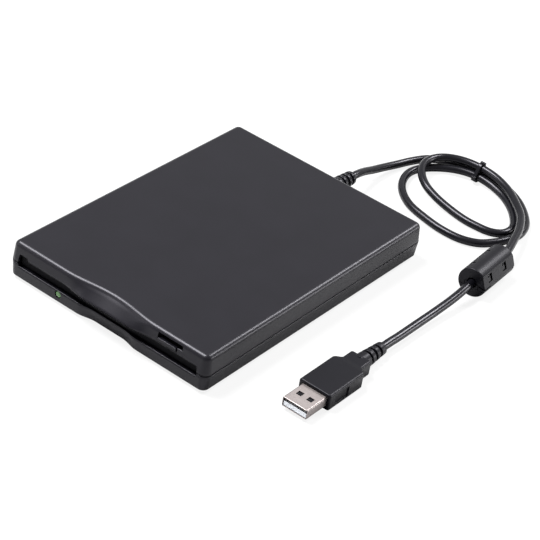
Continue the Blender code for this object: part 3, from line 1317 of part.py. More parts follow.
def closest(first, second):
    """Least distance between two straight runs, each a pair of points."""
    run, other, apart = first[1] - first[0], second[1] - second[0], first[0] - second[0]
    a, b, e = run @ run, run @ other, other @ other
    c, f = run @ apart, other @ apart
    spread = a * e - b * b
    s = min(max((b * f - c * e) / spread, 0), 1) if spread else 0
    t = (b * s + f) / e
    if not 0 <= t <= 1:
        t = min(max(t, 0), 1)
        s = min(max((b * t - c) / a, 0), 1)
    return float(np.linalg.norm(apart + run * s - other * t))


def usb_cord():
    """The cord from the strain relief, through its loops and the ferrite, to the plug."""
    points, length = even_points(smooth_route(CORD_ROUTE), CORD_STEP)
    near = round(2 * math.pi * CORD_RADIUS / CORD_STEP) + 1
    runs = list(zip(points, points[1:]))
    least = min(
        closest(first, second) for i, first in enumerate(runs) for second in runs[i + near + 1:])
    free = least - 2 * CORD_RADIUS
    print(
        f"cord: {length:.4f} m long, least gap to itself {free * 1000:.2f} mm, "
        f"over {CORD_GAP * 1000:.1f} mm: {free > CORD_GAP}")
    finish(tube("usb_cord", [tuple(point) for point in points], CORD_RADIUS), "cord_plastic")


def hull_outline(centres, radius):
    """Outline of a band drawn tight round circles, given anticlockwise."""
    points = []
    count = len(centres)
    for i, centre in enumerate(centres):
        before, after = centres[i - 1], centres[(i + 1) % count]
        start = math.atan2(centre[1] - before[1], centre[0] - before[0]) - math.pi / 2
        end = math.atan2(after[1] - centre[1], after[0] - centre[0]) - math.pi / 2
        sweep = (end - start) % (2 * math.pi)
        for step in range(TIE_ARC_STEPS + 1):
            angle = start + sweep * step / TIE_ARC_STEPS
            points.append((centre[0] + radius * math.cos(angle), centre[1] + radius * math.sin(angle)))
    return points


def cord_tie():
    """Band round the three strands where the cord passes the tie, with its head low on the near side."""
    points, _ = even_points(smooth_route(CORD_ROUTE), CORD_STEP)
    crossings = []
    for start, end in zip(points, points[1:]):
        if start[0] < TIE_X <= end[0]:
            share = (TIE_X - start[0]) / (end[0] - start[0])
            crossings.append(start + (end - start) * share)
    by_height = sorted(((y, z) for _, y, z in crossings), key=lambda place: place[1])
    near, far = sorted(by_height[:2])
    top = by_height[2]
    centres = [near, far, top]
    inner = hull_outline(centres, CORD_RADIUS + TIE_ROOM)
    outer = hull_outline(centres, CORD_RADIUS + TIE_ROOM + TIE_THICK)
    half = TIE_WIDTH / 2
    tie = loft("cord_tie", [[(x, y, z) for y, z in outer] for x in (TIE_X - half, TIE_X + half)])
    low_y = near[0] - CORD_RADIUS - TIE_ROOM - TIE_THICK / 2
    combine(tie, box(
        "tie_head", (TIE_X - TIE_HEAD / 2, low_y - TIE_THICK * 2, near[1] - TIE_HEAD / 2),
        (TIE_X + TIE_HEAD / 2, low_y, near[1] + TIE_HEAD / 2), "cutters"), "UNION")
    combine(tie, loft("tie_room", [
        [(x, y, z) for y, z in inner] for x in (TIE_X - half - OVERRUN, TIE_X + half + OVERRUN)], "cutters"))
    return finish(tie, "cord_plastic")


def clip_body(name, radius, low_y, high_y, edge):
    """A round bar along Y about the clip's own axis, with its end edges broken."""
    profile = (
        (0, high_y), (radius - edge, high_y), (radius, high_y - edge), (radius, low_y + edge),
        (radius - edge, low_y), (0, low_y))
    return turned(name, profile, (0, 0, 0), (-math.pi / 2, 0, 0), sides=CLIP_SIDES)


def clip_cut(pieces, cutter):
    """Cut one cutter out of several pieces."""
    for piece in pieces:
        combine(piece, cutter)


def ferrite_clip():
    """Two case halves on a hinge round the cord, with half a ferrite core in each."""
    half = CLIP_LENGTH / 2
    hinge_x = -math.sqrt(CLIP_RADIUS**2 - CLIP_SPLIT**2) - HINGE_OUT
    lower = clip_body("ferrite_case_lower", CLIP_RADIUS, -half, half, CLIP_EDGE)
    upper = clip_body("ferrite_case_upper", CLIP_RADIUS, -half, half, CLIP_EDGE)
    hollow = half - CLIP_END
    core_radius = CLIP_RADIUS - CLIP_WALL - GAP
    core_half = hollow - GAP
    lower_core = clip_body("ferrite_core_lower", core_radius, -core_half, core_half, CLIP_EDGE)
    upper_core = clip_body("ferrite_core_upper", core_radius, -core_half, core_half, CLIP_EDGE)
    far = CLIP_LENGTH
    cutters = [
        rod("clip_room", (0, -hollow, 0), (0, hollow, 0), CLIP_RADIUS - CLIP_WALL, "cutters", CLIP_SIDES),
        rod("clip_bore", (0, -far, 0), (0, far, 0), CLIP_BORE, "cutters")]
    clip_cut((lower, upper), cutters[0])
    clip_cut((lower, upper, lower_core, upper_core), cutters[1])
    shut = GAP / 2
    over_axis = box("over_axis", (-far, -far, -shut), (far, far, far), "cutters")
    under_axis = box("under_axis", (-far, -far, -far), (far, far, shut), "cutters")
    under_split = box("under_split", (-far, -far, -far), (far, far, CLIP_SPLIT + shut), "cutters")
    under_seat = box("under_seat", (-CLIP_SEAT, -far, -far), (CLIP_SEAT, far, shut), "cutters")
    clip_cut((lower, lower_core), over_axis)
    clip_cut((upper_core,), under_axis)
    clip_cut((upper,), under_split)
    clip_cut((upper,), under_seat)
    sides = []
    for side in (-1, 1):
        near, away = side * (CLIP_SEAT - GAP), side * far
        sides.append(box(
            f"beside_seat_{side}", (min(near, away), -far, CLIP_SPLIT - shut),
            (max(near, away), far, far), "cutters"))
        clip_cut((lower,), sides[-1])
    knuckle_half = HINGE_LENGTH / 2
    for name, owner, other, low_y, high_y in (
            ("front", lower, upper, -HINGE_LENGTH - knuckle_half, -knuckle_half),
            ("middle", upper, lower, GAP - knuckle_half, knuckle_half - GAP),
            ("back", lower, upper, knuckle_half, HINGE_LENGTH + knuckle_half)):
        room = rod(
            f"knuckle_room_{name}", (hinge_x, low_y - GAP, CLIP_SPLIT), (hinge_x, high_y + GAP, CLIP_SPLIT),
            HINGE_RADIUS + GAP, "cutters", 16)
        knuckle = rod(
            f"knuckle_{name}", (hinge_x, low_y, CLIP_SPLIT), (hinge_x, high_y, CLIP_SPLIT), HINGE_RADIUS,
            "cutters", 16)
        combine(other, room)
        combine(owner, knuckle, "UNION")
        cutters += [room, knuckle]
    flat_out = CLIP_RADIUS - LATCH_FLAT
    flat = turned_box("latch_flat", LATCH_ANGLE, flat_out, flat_out + CLIP_RADIUS, -far, far, CLIP_RADIUS)
    combine(upper, flat)
    cutters += [flat]
    window_out = flat_out / math.cos(LATCH_ANGLE - LATCH_WINDOW_ANGLE) - LATCH_WINDOW_DEEP
    for number, start in enumerate((LATCH_WINDOW_FIRST, LATCH_WINDOW_SECOND), 1):
        window = turned_box(
            f"latch_window_{number}", LATCH_WINDOW_ANGLE, window_out, window_out + CLIP_RADIUS, start - half,
            start - half + LATCH_WINDOW_LENGTH, LATCH_WINDOW_WIDTH / 2)
        combine(upper, window)
        cutters.append(window)
    for piece in (lower, upper):
        finish(piece, "cord_plastic")
    for piece in (lower_core, upper_core):
        finish(piece, "ferrite_grey")
    place_clip([lower, lower_core, *cutters, over_axis, under_axis, under_split, under_seat, *sides],
               [upper, upper_core], hinge_x)


def turned_box(name, angle, near, away, low_y, high_y, half_width):
    """Cutter outside a flat whose outward normal leans at an angle in the XZ plane."""
    block = box(name, (near, low_y, -half_width), (away, high_y, half_width), "cutters")
    middle = (near + away) / 2
    block.location = (middle * math.cos(angle), (low_y + high_y) / 2, middle * math.sin(angle))
    block.rotation_euler = (0, -angle, 0)
    return block


def place_clip(fixed, moving, hinge_x):
    """Carry the clip's pieces to their place on the cord, the moving ones on the hinge."""
    frame = bpy.data.objects.new("clip_frame", None)
    frame.location = (CLIP_X, CLIP_Y, CLIP_Z)
    frame.rotation_euler = (0, 0, CLIP_TURN)
    hinge = bpy.data.objects.new("clip_hinge", None)
    hinge.location = (hinge_x, 0, CLIP_SPLIT)
    hinge.parent = frame
    for empty in (frame, hinge):
        empty.empty_display_size = CLIP_RADIUS
        GROUPS["parts"].objects.link(empty)
    for piece in fixed:
        piece.parent = frame
    for piece in moving:
        piece.parent = hinge
        piece.matrix_parent_inverse = Matrix.Translation(hinge.location).inverted()


def grip_ring(y, half_width, half_height, corner):
    """Upright section of the plug's grip at one place along it."""
    outline = rounded_outline(-half_width, half_width, -half_height, half_height, corner)
    middle = GRIP_HEIGHT / 2
    return [(PLUG_X + x, y, middle + z) for x, z in outline]


def plug():
    """Moulded grip with its ribbed boot, the steel shell in its mouth and the tongue inside."""
    wide, tall = GRIP_WIDTH / 2, GRIP_HEIGHT / 2
    neck_wide, neck_tall = GRIP_NECK_WIDTH / 2, GRIP_NECK_HEIGHT / 2
    neck_front = PLUG_TAIL_Y - GRIP_NECK
    shoulder = neck_front - GRIP_SHOULDER
    rings = [
        grip_ring(PLUG_TAIL_Y, neck_wide - GRIP_EDGE, neck_tall - GRIP_EDGE, GRIP_EDGE),
        grip_ring(PLUG_TAIL_Y - GRIP_EDGE, neck_wide, neck_tall, GRIP_EDGE),
        grip_ring(neck_front, neck_wide, neck_tall, GRIP_EDGE),
        grip_ring(shoulder, wide, tall, GRIP_EDGE),
        grip_ring(PLUG_FRONT_Y + GRIP_EDGE / 2, wide, tall, GRIP_EDGE),
        grip_ring(PLUG_FRONT_Y, wide - GRIP_EDGE / 2, tall - GRIP_EDGE / 2, GRIP_EDGE)]
    grip = loft("plug_overmold", rings)
    middle = GRIP_HEIGHT / 2
    boot_low = PLUG_TAIL_Y - GRIP_EDGE * 2
    boot_high = PLUG_TAIL_Y + BOOT_LENGTH

    def radius(y):
        return BOOT_BIG + (BOOT_SMALL - BOOT_BIG) * max(y - PLUG_TAIL_Y, 0) / BOOT_LENGTH

    profile = [(0, boot_high), (BOOT_SMALL - GAP, boot_high), (radius(boot_high - GAP), boot_high - GAP)]
    for groove in reversed(range(BOOT_GROOVES)):
        low = PLUG_TAIL_Y + BOOT_GROOVE_FIRST + groove * BOOT_GROOVE_PITCH
        high = low + BOOT_GROOVE
        profile += [
            (radius(high), high), (radius(high) - BOOT_GROOVE_DEEP, high),
            (radius(low) - BOOT_GROOVE_DEEP, low), (radius(low), low)]
    profile += [(BOOT_BIG, PLUG_TAIL_Y), (BOOT_BIG, boot_low), (0, boot_low)]
    boot = turned("plug_boot", profile, (PLUG_X, 0, middle), (-math.pi / 2, 0, 0), "cutters", ROUND_SIDES)
    combine(grip, boot, "UNION")
    panel_front = PLUG_FRONT_Y + PANEL_FROM_FRONT
    for side in (-1, 1):
        inner = PLUG_X + side * (wide - PANEL_DEEP)
        outer = PLUG_X + side * (wide + OVERRUN)
        combine(grip, box(
            f"grip_panel_{side}", (min(inner, outer), panel_front, middle - PANEL_HEIGHT / 2),
            (max(inner, outer), panel_front + PANEL_LENGTH, middle + PANEL_HEIGHT / 2), "cutters"))
    half_x, half_z = SHELL_WIDTH / 2, SHELL_HEIGHT / 2
    back = PLUG_FRONT_Y + SHELL_SEAT
    combine(grip, box(
        "shell_seat", (PLUG_X - half_x - GAP, PLUG_FRONT_Y - OVERRUN, middle - half_z - GAP),
        (PLUG_X + half_x + GAP, back + GAP, middle + half_z + GAP), "cutters"))
    finish(grip, "cord_plastic")
    mouth = PLUG_FRONT_Y - SHELL_LENGTH
    shell = box(
        "plug_shell", (PLUG_X - half_x, mouth, middle - half_z), (PLUG_X + half_x, back, middle + half_z),
        edge=SHELL_WALL)
    room_x, room_z = half_x - SHELL_WALL, half_z - SHELL_WALL
    combine(shell, box(
        "shell_room", (PLUG_X - room_x, mouth - OVERRUN, middle - room_z),
        (PLUG_X + room_x, back + OVERRUN, middle + room_z), "cutters"))
    for side in (-1, 1):
        centre = PLUG_X + side * SHELL_WINDOW_GAP / 2
        window = mouth + SHELL_WINDOW_FROM_FRONT
        combine(shell, box(
            f"shell_window_{side}", (centre - SHELL_WINDOW / 2, window, -OVERRUN),
            (centre + SHELL_WINDOW / 2, window + SHELL_WINDOW, GRIP_HEIGHT + OVERRUN), "cutters"))
    finish(shell, "plug_steel")
    floor = middle - room_z + GAP
    finish(box(
        "plug_tongue", (PLUG_X - room_x + GAP, mouth + TONGUE_SHORT, floor),
        (PLUG_X + room_x - GAP, back, floor + TONGUE_THICK)), "socket_white")


def build():
    """Make every piece."""
    top_cover()
    bottom_cover()
    feet()
    screws()
    slot_door()
    led()
    chassis_tray()
    chassis_lid()
    disk_carrier()
    shutter_lever()
    slide()
    slide_springs()
    spindle()
    heads()
    head_drive()
    switches()
    boards()
    strain_relief()
    usb_cord()
    cord_tie()
    ferrite_clip()
    plug()


for old in list(bpy.data.objects):
    bpy.data.objects.remove(old)
GROUPS = {"parts": collection("external_floppy_drive"), "cutters": collection("cutters")}
build()
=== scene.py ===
"""Looks of the external floppy disk drive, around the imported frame. Metres, +Z up, slot at -Y."""

import json
import math

import bmesh
import bpy
import numpy as np
from mathutils import Euler, Matrix


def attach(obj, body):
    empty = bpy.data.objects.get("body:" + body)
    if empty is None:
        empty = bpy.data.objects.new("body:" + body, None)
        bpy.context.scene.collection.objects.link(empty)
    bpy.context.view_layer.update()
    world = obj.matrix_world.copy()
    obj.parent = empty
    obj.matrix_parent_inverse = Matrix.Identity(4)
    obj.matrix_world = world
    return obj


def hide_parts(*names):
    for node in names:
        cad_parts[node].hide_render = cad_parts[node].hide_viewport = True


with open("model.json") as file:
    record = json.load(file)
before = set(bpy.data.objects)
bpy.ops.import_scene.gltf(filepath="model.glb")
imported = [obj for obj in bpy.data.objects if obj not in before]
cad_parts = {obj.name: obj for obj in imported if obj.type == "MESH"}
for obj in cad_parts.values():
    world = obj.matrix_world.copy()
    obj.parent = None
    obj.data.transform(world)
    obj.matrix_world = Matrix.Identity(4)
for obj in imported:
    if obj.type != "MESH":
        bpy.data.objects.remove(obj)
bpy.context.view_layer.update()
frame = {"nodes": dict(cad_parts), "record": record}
nodes = frame["nodes"]
scene = bpy.context.scene
scene.view_settings.view_transform = "Standard"

MM = 0.001

# Camera and light
CAMERA_PLACE = (0.390661, -0.553295, 0.468508)
CAMERA_TURN = (55.0799, -7.7830, 38.8032)      # degrees
CAMERA_LENS = 131.995
FLOOR_HALF = 6.0
FLOOR_COLOR, FLOOR_SCALE = (0.55, 0.55, 0.55), 3.0      # its drift, in features a metre
SKY_LIGHT = 0.07          # what the white world gives to matt surfaces
SHADOW_SHARE = 0.14       # how much of the floor's own shading shows near the object
SHADOW_REACH, SHADOW_SOFT = 0.5, 0.25      # how far out it shows, and how softly it ends
LAMPS = (                 # place, size, power, name
    ((-0.64, -0.18, 1.25), 0.62, 64.0, "softbox_left"),
    ((0.24, 0.97, 0.98), 0.36, 24.0, "softbox_back"),
    ((0.98, 0.93, 0.22), 0.40, 9.0, "softbox_right"),
    ((-1.20, -0.95, 0.50), 0.50, 6.0, "softbox_front"),
)

# Cord: centre line from the strain relief to the boot of the plug
CORD_RADIUS = 1.85 * MM
CORD_SIDES = 28
CORD_STEP = 1.4 * MM
CORD_ROUTE = (
    (0.0022, 0.0881, 0.0090),
    (0.0022, 0.0920, 0.0089),
    (0.0018, 0.0985, 0.0075),
    (0.0018, 0.1060, 0.0054),
    (0.0024, 0.1145, 0.0037),
    (0.0038, 0.1225, 0.0026),
    (0.0060, 0.1310, 0.0021),
    (0.0098, 0.1390, 0.0020),
    (0.0152, 0.1436, 0.0021),
    (0.0222, 0.1463, 0.0026),
    (0.0324, 0.1480, 0.0030),
    (0.0420, 0.1484, 0.0027),
    (0.0505, 0.1463, 0.0021),
    (0.0585, 0.1421, 0.0019),
    (0.0655, 0.1359, 0.0019),
    (0.0713, 0.1281, 0.0019),
    (0.0735, 0.1200, 0.0019),
    (0.0726, 0.1130, 0.0019),
    (0.0696, 0.1057, 0.0019),
    (0.0652, 0.0996, 0.0019),
    (0.0580, 0.0959, 0.0019),
    (0.0480, 0.0953, 0.0019),
    (0.0370, 0.0973, 0.0019),
    (0.0270, 0.1006, 0.0019),
    (0.0186, 0.1068, 0.0019),
    (0.0133, 0.1145, 0.0019),
    (0.0112, 0.1228, 0.0019),
    (0.0129, 0.1303, 0.0019),
    (0.0180, 0.1372, 0.0020),
    (0.0246, 0.1413, 0.0026),
    (0.0324, 0.1434, 0.0030),
    (0.0420, 0.1432, 0.0026),
    (0.0515, 0.1402, 0.0020),
    (0.0592, 0.1346, 0.0019),
    (0.0652, 0.1278, 0.0019),
    (0.0683, 0.1222, 0.0019),
    (0.0688, 0.1182, 0.0019),
    (0.0680, 0.1149, 0.0019),
    (0.0658, 0.1123, 0.0019),
    (0.0622, 0.1106, 0.0019),
    (0.0570, 0.1100, 0.0019),
    (0.0510, 0.1100, 0.0019),
    (0.0430, 0.1112, 0.0021),
    (0.0325, 0.1130, 0.0034),
    (0.0245, 0.1156, 0.0050),
    (0.0183, 0.1210, 0.0060),
    (0.0149, 0.1275, 0.0064),
    (0.0148, 0.1346, 0.0064),
    (0.0178, 0.1403, 0.0063),
    (0.0240, 0.1441, 0.0065),
    (0.0324, 0.1457, 0.0066),
    (0.0420, 0.1449, 0.0065),
    (0.0520, 0.1410, 0.0062),
    (0.0608, 0.1343, 0.0062),
    (0.0686, 0.1266, 0.0062),
    (0.0741, 0.1168, 0.0063),
    (0.0774, 0.1073, 0.0065),
    (0.0800, 0.0990, 0.0067),
    (0.0815, 0.0920, 0.0067),
    (0.0824, 0.0780, 0.0067),
    (0.0833, 0.0640, 0.0065),
    (0.0834, 0.0520, 0.0051),
    (0.0829, 0.0390, 0.0040),
    (0.0826, 0.0260, 0.0037),
    (0.0825, 0.0140, 0.0037),
    (0.0823, 0.0075, 0.00375),
    (0.0823, 0.0032, 0.00375),
)

SMOOTH_EDGE = math.radians(38)      # edges that turn more than this stay sharp
ACROSS = {0: (1, 2), 1: (0, 2), 2: (0, 1)}      # the two axes square to an axis

# Case
CASE_HALF = 52.0 * MM
FRONT, BACK = -70.8 * MM, 72.6 * MM
BASE, SEAM_LOW, SEAM_HIGH, TOP = 1.2 * MM, 8.25 * MM, 8.55 * MM, 17.2 * MM
CORNER, WALL = 3.5 * MM, 1.5 * MM
LEAN, TOP_EDGE, BASE_EDGE = 0.7 * MM, 2.2 * MM, 0.8 * MM
BASE_INSETS = (0.5 * MM, 0.4 * MM, 1.5 * MM)     # side, front, back
TOP_EDGE_LOW, BASE_EDGE_HIGH = TOP - TOP_EDGE, BASE + BASE_EDGE
LIP = 0.18 * MM                                  # round of the rims at the seam and the slot
INNER_FRONT, LOWER_INNER = -69.3 * MM, -67.7 * MM
HOLLOW_BACK, HOLLOW_LOW = -66.2 * MM, 13.95 * MM # inner face behind the hollow, and where it starts
RELIEF_X = 1.0 * MM                              # middle of the brow and of both hollows
BROW, BROW_FLAT, BROW_RAMP, BROW_TOP = 1.8 * MM, 11.0 * MM, 14.0 * MM, 12.15 * MM
TOP_HOLLOW, TOP_HOLLOW_HALF, HOLLOW_TOP = 2.4 * MM, 24.0 * MM, 16.1 * MM
LOW_HOLLOW, LOW_FLAT, LOW_RAMP = 1.6 * MM, 7.0 * MM, 9.0 * MM
SLOT_HALF, SLOT_LOW, SLOT_TOP, SLOT_SOFT = 47.0 * MM, 7.05 * MM, 11.35 * MM, 0.35 * MM
NOTCH_END, NOTCH_RISE = -42.3 * MM, 1.25 * MM    # the slot is higher left of this place

# Grid of the case: columns along the front, close ones at the ends of the slot and the notch, rows of a wall
COLUMN_STEP, FINE_STEP, FINE_STEPS = 0.75 * MM, 0.08 * MM, 6
SIDE_COLUMNS, BACK_COLUMNS, CORNER_COLUMNS = 34, 24, 11
WALL_ROWS, TOP_ROWS, BASE_ROWS, LIP_ROWS = 11, 9, 7, 4
INNER_SHARES = (0.15, 0.6)                       # heights of the rows up the inner wall
ROOF_INSETS, FLOOR_INSETS = (6.0 * MM, 0.5 * MM, 0.0), (4.0 * MM, 0.3 * MM, 0.0)
TOP_INSETS, FLAT_INSETS = (0.1 * MM, 0.45 * MM), (0.2 * MM, 1.0 * MM)
ROOF_DROP, INNER_STEP = 0.3 * MM, 0.01 * MM      # second row of the inner front, step at its foot

# What the covers carry
SCREW_X, SCREW_Y = 44.0 * MM, 65.0 * MM
CHASSIS_SCREWS = ((-38.0 * MM, -50.0 * MM), (38.0 * MM, 50.0 * MM))
FEET = ((-42.0 * MM, -56.0 * MM), (-42.0 * MM, 56.0 * MM), (42.0 * MM, -56.0 * MM), (42.0 * MM, 56.0 * MM))
POST, SCREW_HOLE, SCREW_HOLE_TOP = 4.0 * MM, 1.5 * MM, 13.9 * MM
SCREW_SINK, SCREW_SINK_DEPTH = 2.7 * MM, 1.7 * MM
CHASSIS_HOLE, CHASSIS_SINK, CHASSIS_SINK_DEPTH = 1.3 * MM, 2.3 * MM, 1.1 * MM
BOARD_POST_X, BOARD_POST_Y, BOARD_POST_TOP, BOARD_POST = 26.0 * MM, 63.5 * MM, 3.9 * MM, 2.0 * MM
DOOR_Y, DOOR_Z = -68.65 * MM, 11.8 * MM          # axis of the flap
EAR_NEAR, EAR_AWAY, EAR_TOP, EAR_HOLE = 47.3 * MM, 48.7 * MM, 14.3 * MM, 0.8 * MM
BUTTON = ((26.8 * MM, FRONT, 12.45 * MM), (36.2 * MM, -59.4 * MM, 13.85 * MM))
BUTTON_HOLE = ((-2.0, 0.5), (0.43, 0.5), (0.55, 0.33), (4.45, 0.3))     # mm behind the front, mm of growth
POCKET = (26.5 * MM, 38.9 * MM, 13.85 * MM, 15.95 * MM)                 # left, right, low, high
POCKET_WALLS = ((-2.0, 0.35), (0.48, 0.35), (0.62, 0.12), (0.8, 0.0), (2.5, -0.1), (2.75, -0.25), (2.8, -0.6))
LENS_X, LENS_Z, LENS_HOLE = -24.9 * MM, 5.0 * MM, 1.65 * MM
EXIT_X, EXIT_Z, EXIT_HOLE = 2.2 * MM, 9.0 * MM, 3.6 * MM
CORD_BORE, CORE_RADIUS, BORE_DEPTH = 1.95 * MM, 0.2 * MM, 3.0 * MM      # where the cord enters a sleeve
OVERRUN = 3.0 * MM                               # of cutters past what they cut

# Ferrite clip, about its own axis, and the plug
CLIP_RADIUS, CLIP_HALF, CLIP_SPLIT = 6.7 * MM, 12.7 * MM, -2.2 * MM
CLIP_FAR = 2 * CLIP_HALF                         # beyond the clip on every side
CLIP_PLACE, CLIP_TURN = (82.4 * MM, 78.05 * MM, 6.7 * MM), math.radians(3.6)
PLUG_X, PLUG_Z, GRIP_BACK = 82.3 * MM, 3.75 * MM, -11.1 * MM

# Looks; scales are in features a metre
SHEEN = (0.93, 0.91, 1.0, 1.0)                   # the plastic mirrors a little violet
DRIFT_SCALE, CLOUD_SCALE = 60.0, 220.0
TRACE_SCALE, PAD_SCALE, LACQUER_SCALE = 380.0, 620.0, 900.0
CONDUCTOR_SCALE, FILM_SCALE = 520.0, 1200.0
TIN, CONDUCTOR = (0.55, 0.54, 0.50), (0.30, 0.29, 0.27)


class Wire:
    """A socket of a material. Arithmetic on wires adds Math nodes to the material."""

    def __init__(self, tree, socket=None):
        self.tree, self.socket = tree, socket

    def node(self, kind, settings=None, sockets=None, out=0):
        """Add a node: its settings first, then the values or wires of its sockets."""
        made = self.tree.nodes.new(kind)
        for name, value in (settings or {}).items():
            setattr(made, name, value)
        for name, value in (sockets or {}).items():
            if isinstance(value, Wire):
                self.tree.links.new(value.socket, made.inputs[name])
            else:
                made.inputs[name].default_value = value
        return Wire(self.tree, made.outputs[out])

    def math(self, operation, first, second=0.0):
        return self.node("ShaderNodeMath", {"operation": operation}, {0: first, 1: second})

    def __add__(self, other):
        return self.math("ADD", self, other)

    __radd__ = __add__

    def __rsub__(self, other):
        return self.math("SUBTRACT", other, self)

    def __mul__(self, other):
        return self.math("MULTIPLY", self, other)

    __rmul__ = __mul__

    def above(self, limit, soft):
        """0 below the limit and 1 above it, with a soft step between."""
        return self.node("ShaderNodeMapRange", {"interpolation_type": "SMOOTHSTEP"}, {
            "Value": self, "From Min": limit - soft, "From Max": limit + soft})

    def noise(self, scale, detail=2.0, stretch=(1, 1, 1)):
        """Noise on Object coordinates; the scale is in features a metre."""
        return self.node("ShaderNodeTexNoise", None, {
            "Vector": self.place(stretch), "Scale": scale, "Detail": detail})

    def place(self, stretch=(1, 1, 1)):
        """Object coordinates, stretched along the axes."""
        here = self.node("ShaderNodeTexCoord", out="Object")
        return self.node("ShaderNodeMapping", None, {"Vector": here, "Scale": stretch})

    def mix(self, share, first, second):
        """A colour between two colours."""
        return self.node("ShaderNodeMix", {"data_type": "RGBA"}, {0: share, 6: first, 7: second}, 2)

    def bump(self, height, distance, strength):
        """A bump whose height runs from 0 to 1 over a distance in metres."""
        return self.node("ShaderNodeBump", None, {
            "Height": height, "Distance": distance, "Strength": strength})


def rgba(color, gain=1.0):
    """A colour as the four numbers of a socket."""
    return tuple(min(1.0, channel * gain) for channel in color) + (1.0,)


def material(name, varying, constants):
    """A material whose Principled sockets take wires and plain values by name."""
    made = bpy.data.materials.new(name)
    made.use_nodes = True
    shader = made.node_tree.nodes["Principled BSDF"]
    start = Wire(made.node_tree)
    for socket, value in {**constants, **varying(start)}.items():
        if isinstance(value, Wire):
            made.node_tree.links.new(value.socket, shader.inputs[socket])
        else:
            shader.inputs[socket].default_value = value
    return made


def moulded(name, color, roughness, grain, tone=0.18, depth=0.02 * MM, specular=0.5, sheen=(1, 1, 1, 1)):
    """Moulded plastic: fine sparked grain, slow drift of tone and sheen; grain is in features a metre."""
    speck_tone, drift_roughness, speck_roughness = 0.35, 0.02, 0.05

    def varying(start):
        fine = start.noise(grain, detail=3.0)
        drift = start.noise(DRIFT_SCALE).above(0.5, soft=0.25)
        speck = fine.above(0.56, soft=0.2)
        body = start.mix(drift, rgba(color, 1 - tone / 2), rgba(color, 1 + tone / 2))
        return {
            "Base Color": start.mix(speck * speck_tone, body, rgba(color, 1 + tone)),
            "Roughness": roughness + drift_roughness * drift + speck_roughness * speck,
            "Normal": start.bump(fine, depth, strength=0.6)}
    return material(name, varying, {"Specular IOR Level": specular, "Specular Tint": sheen})


def metal(name, color, roughness, grain, stretch):
    """Metal with fine drawn lines along one axis; grain is in features a metre."""
    depth, dark, pale, line_roughness, cloud_roughness = 0.008 * MM, 0.9, 1.08, 0.08, 0.05

    def varying(start):
        lines = start.noise(grain, 3.0, stretch)
        drawn = lines.above(0.5, soft=0.3)
        cloud = start.noise(CLOUD_SCALE).above(0.5, soft=0.3)
        return {
            "Base Color": start.mix(drawn, rgba(color, dark), rgba(color, pale)),
            "Roughness": roughness + line_roughness * drawn + cloud_roughness * cloud,
            "Normal": start.bump(lines, depth, strength=0.4)}
    return material(name, varying, {"Metallic": 1.0})


def board(name, color):
    """Circuit board: lacquer with a web of traces below it and small tinned pads."""
    trace, pad_radius, trace_depth, over_trace = 0.07, 0.17, 0.03 * MM, 2.2

    def varying(start):
        flat = start.place((1, 1, 0.01))
        web = start.node("ShaderNodeTexVoronoi", {"feature": "DISTANCE_TO_EDGE"}, {
            "Vector": flat, "Scale": TRACE_SCALE})
        spots = start.node("ShaderNodeTexVoronoi", None, {
            "Vector": flat, "Scale": PAD_SCALE, "Randomness": 0.7})
        pads = 1 - spots.above(pad_radius, soft=0.03)
        lacquer = start.mix(1 - web.above(trace, soft=0.02), rgba(color), rgba(color, over_trace))
        return {
            "Base Color": start.mix(pads, lacquer, rgba(TIN)),
            "Roughness": 0.32 + 0.12 * start.noise(LACQUER_SCALE),
            "Metallic": 0.9 * pads,
            "Normal": start.bump(1 - web.above(trace, soft=0.03), trace_depth, strength=0.5)}
    return material(name, varying, {"Coat Weight": 0.2})


def ribbon(name, color):
    """Flat cable: parallel conductors that show through the film."""
    def varying(start):
        lines = start.node("ShaderNodeTexWave", {"bands_direction": "X"}, {
            "Vector": start.place(), "Scale": CONDUCTOR_SCALE}, "Fac").above(0.5, soft=0.35)
        return {
            "Base Color": start.mix(lines, rgba(color), rgba(CONDUCTOR)),
            "Roughness": 0.34 + 0.1 * start.noise(FILM_SCALE),
            "Normal": start.bump(lines, 0.02 * MM, strength=0.5)}
    return material(name, varying, {})


def link(obj):
    """Put an object in the scene."""
    scene.collection.objects.link(obj)
    return obj


def ring_quads(rows, columns):
    """Quads between neighbouring rings of a grid whose columns close on themselves."""
    index = np.arange(rows * columns).reshape(rows, columns)
    after = np.roll(index, -1, axis=1)
    return np.stack((index[:-1], after[:-1], after[1:], index[1:]), axis=-1).reshape(-1, 4)


def skin(rings):
    """Closed shape over an array of rings, rows by columns by 3, with a flat face on each end ring."""
    rows, columns, _ = rings.shape
    quads = ring_quads(rows, columns).tolist()
    ends = [list(range(columns))[::-1], list(range((rows - 1) * columns, rows * columns))]
    return rings.reshape(-1, 3), quads + ends


def looped(rings):
    """Closed shape over rings that close on themselves, such as a ring or a washer."""
    closed = np.concatenate((rings, rings[:1]))
    rows, columns, _ = closed.shape
    quads = ring_quads(rows, columns) % (columns * (rows - 1))
    return rings.reshape(-1, 3), quads.tolist()


def cuboid(low, high):
    """Closed box between two corners."""
    (x0, y0, z0), (x1, y1, z1) = low, high
    floor = [(x0, y0), (x1, y0), (x1, y1), (x0, y1)]
    return skin(np.array([[(x, y, z) for x, y in floor] for z in (z0, z1)]))


def square_frame(axis):
    """Two directions square to an axis and to each other."""
    axis = np.asarray(axis, float) / np.linalg.norm(axis)
    steep = abs(axis[2]) >= 0.9
    helper = np.array((1.0, 0.0, 0.0)) if steep else np.array((0.0, 0.0, 1.0))
    side = np.cross(axis, helper)
    side /= np.linalg.norm(side)
    return axis, side, np.cross(axis, side)


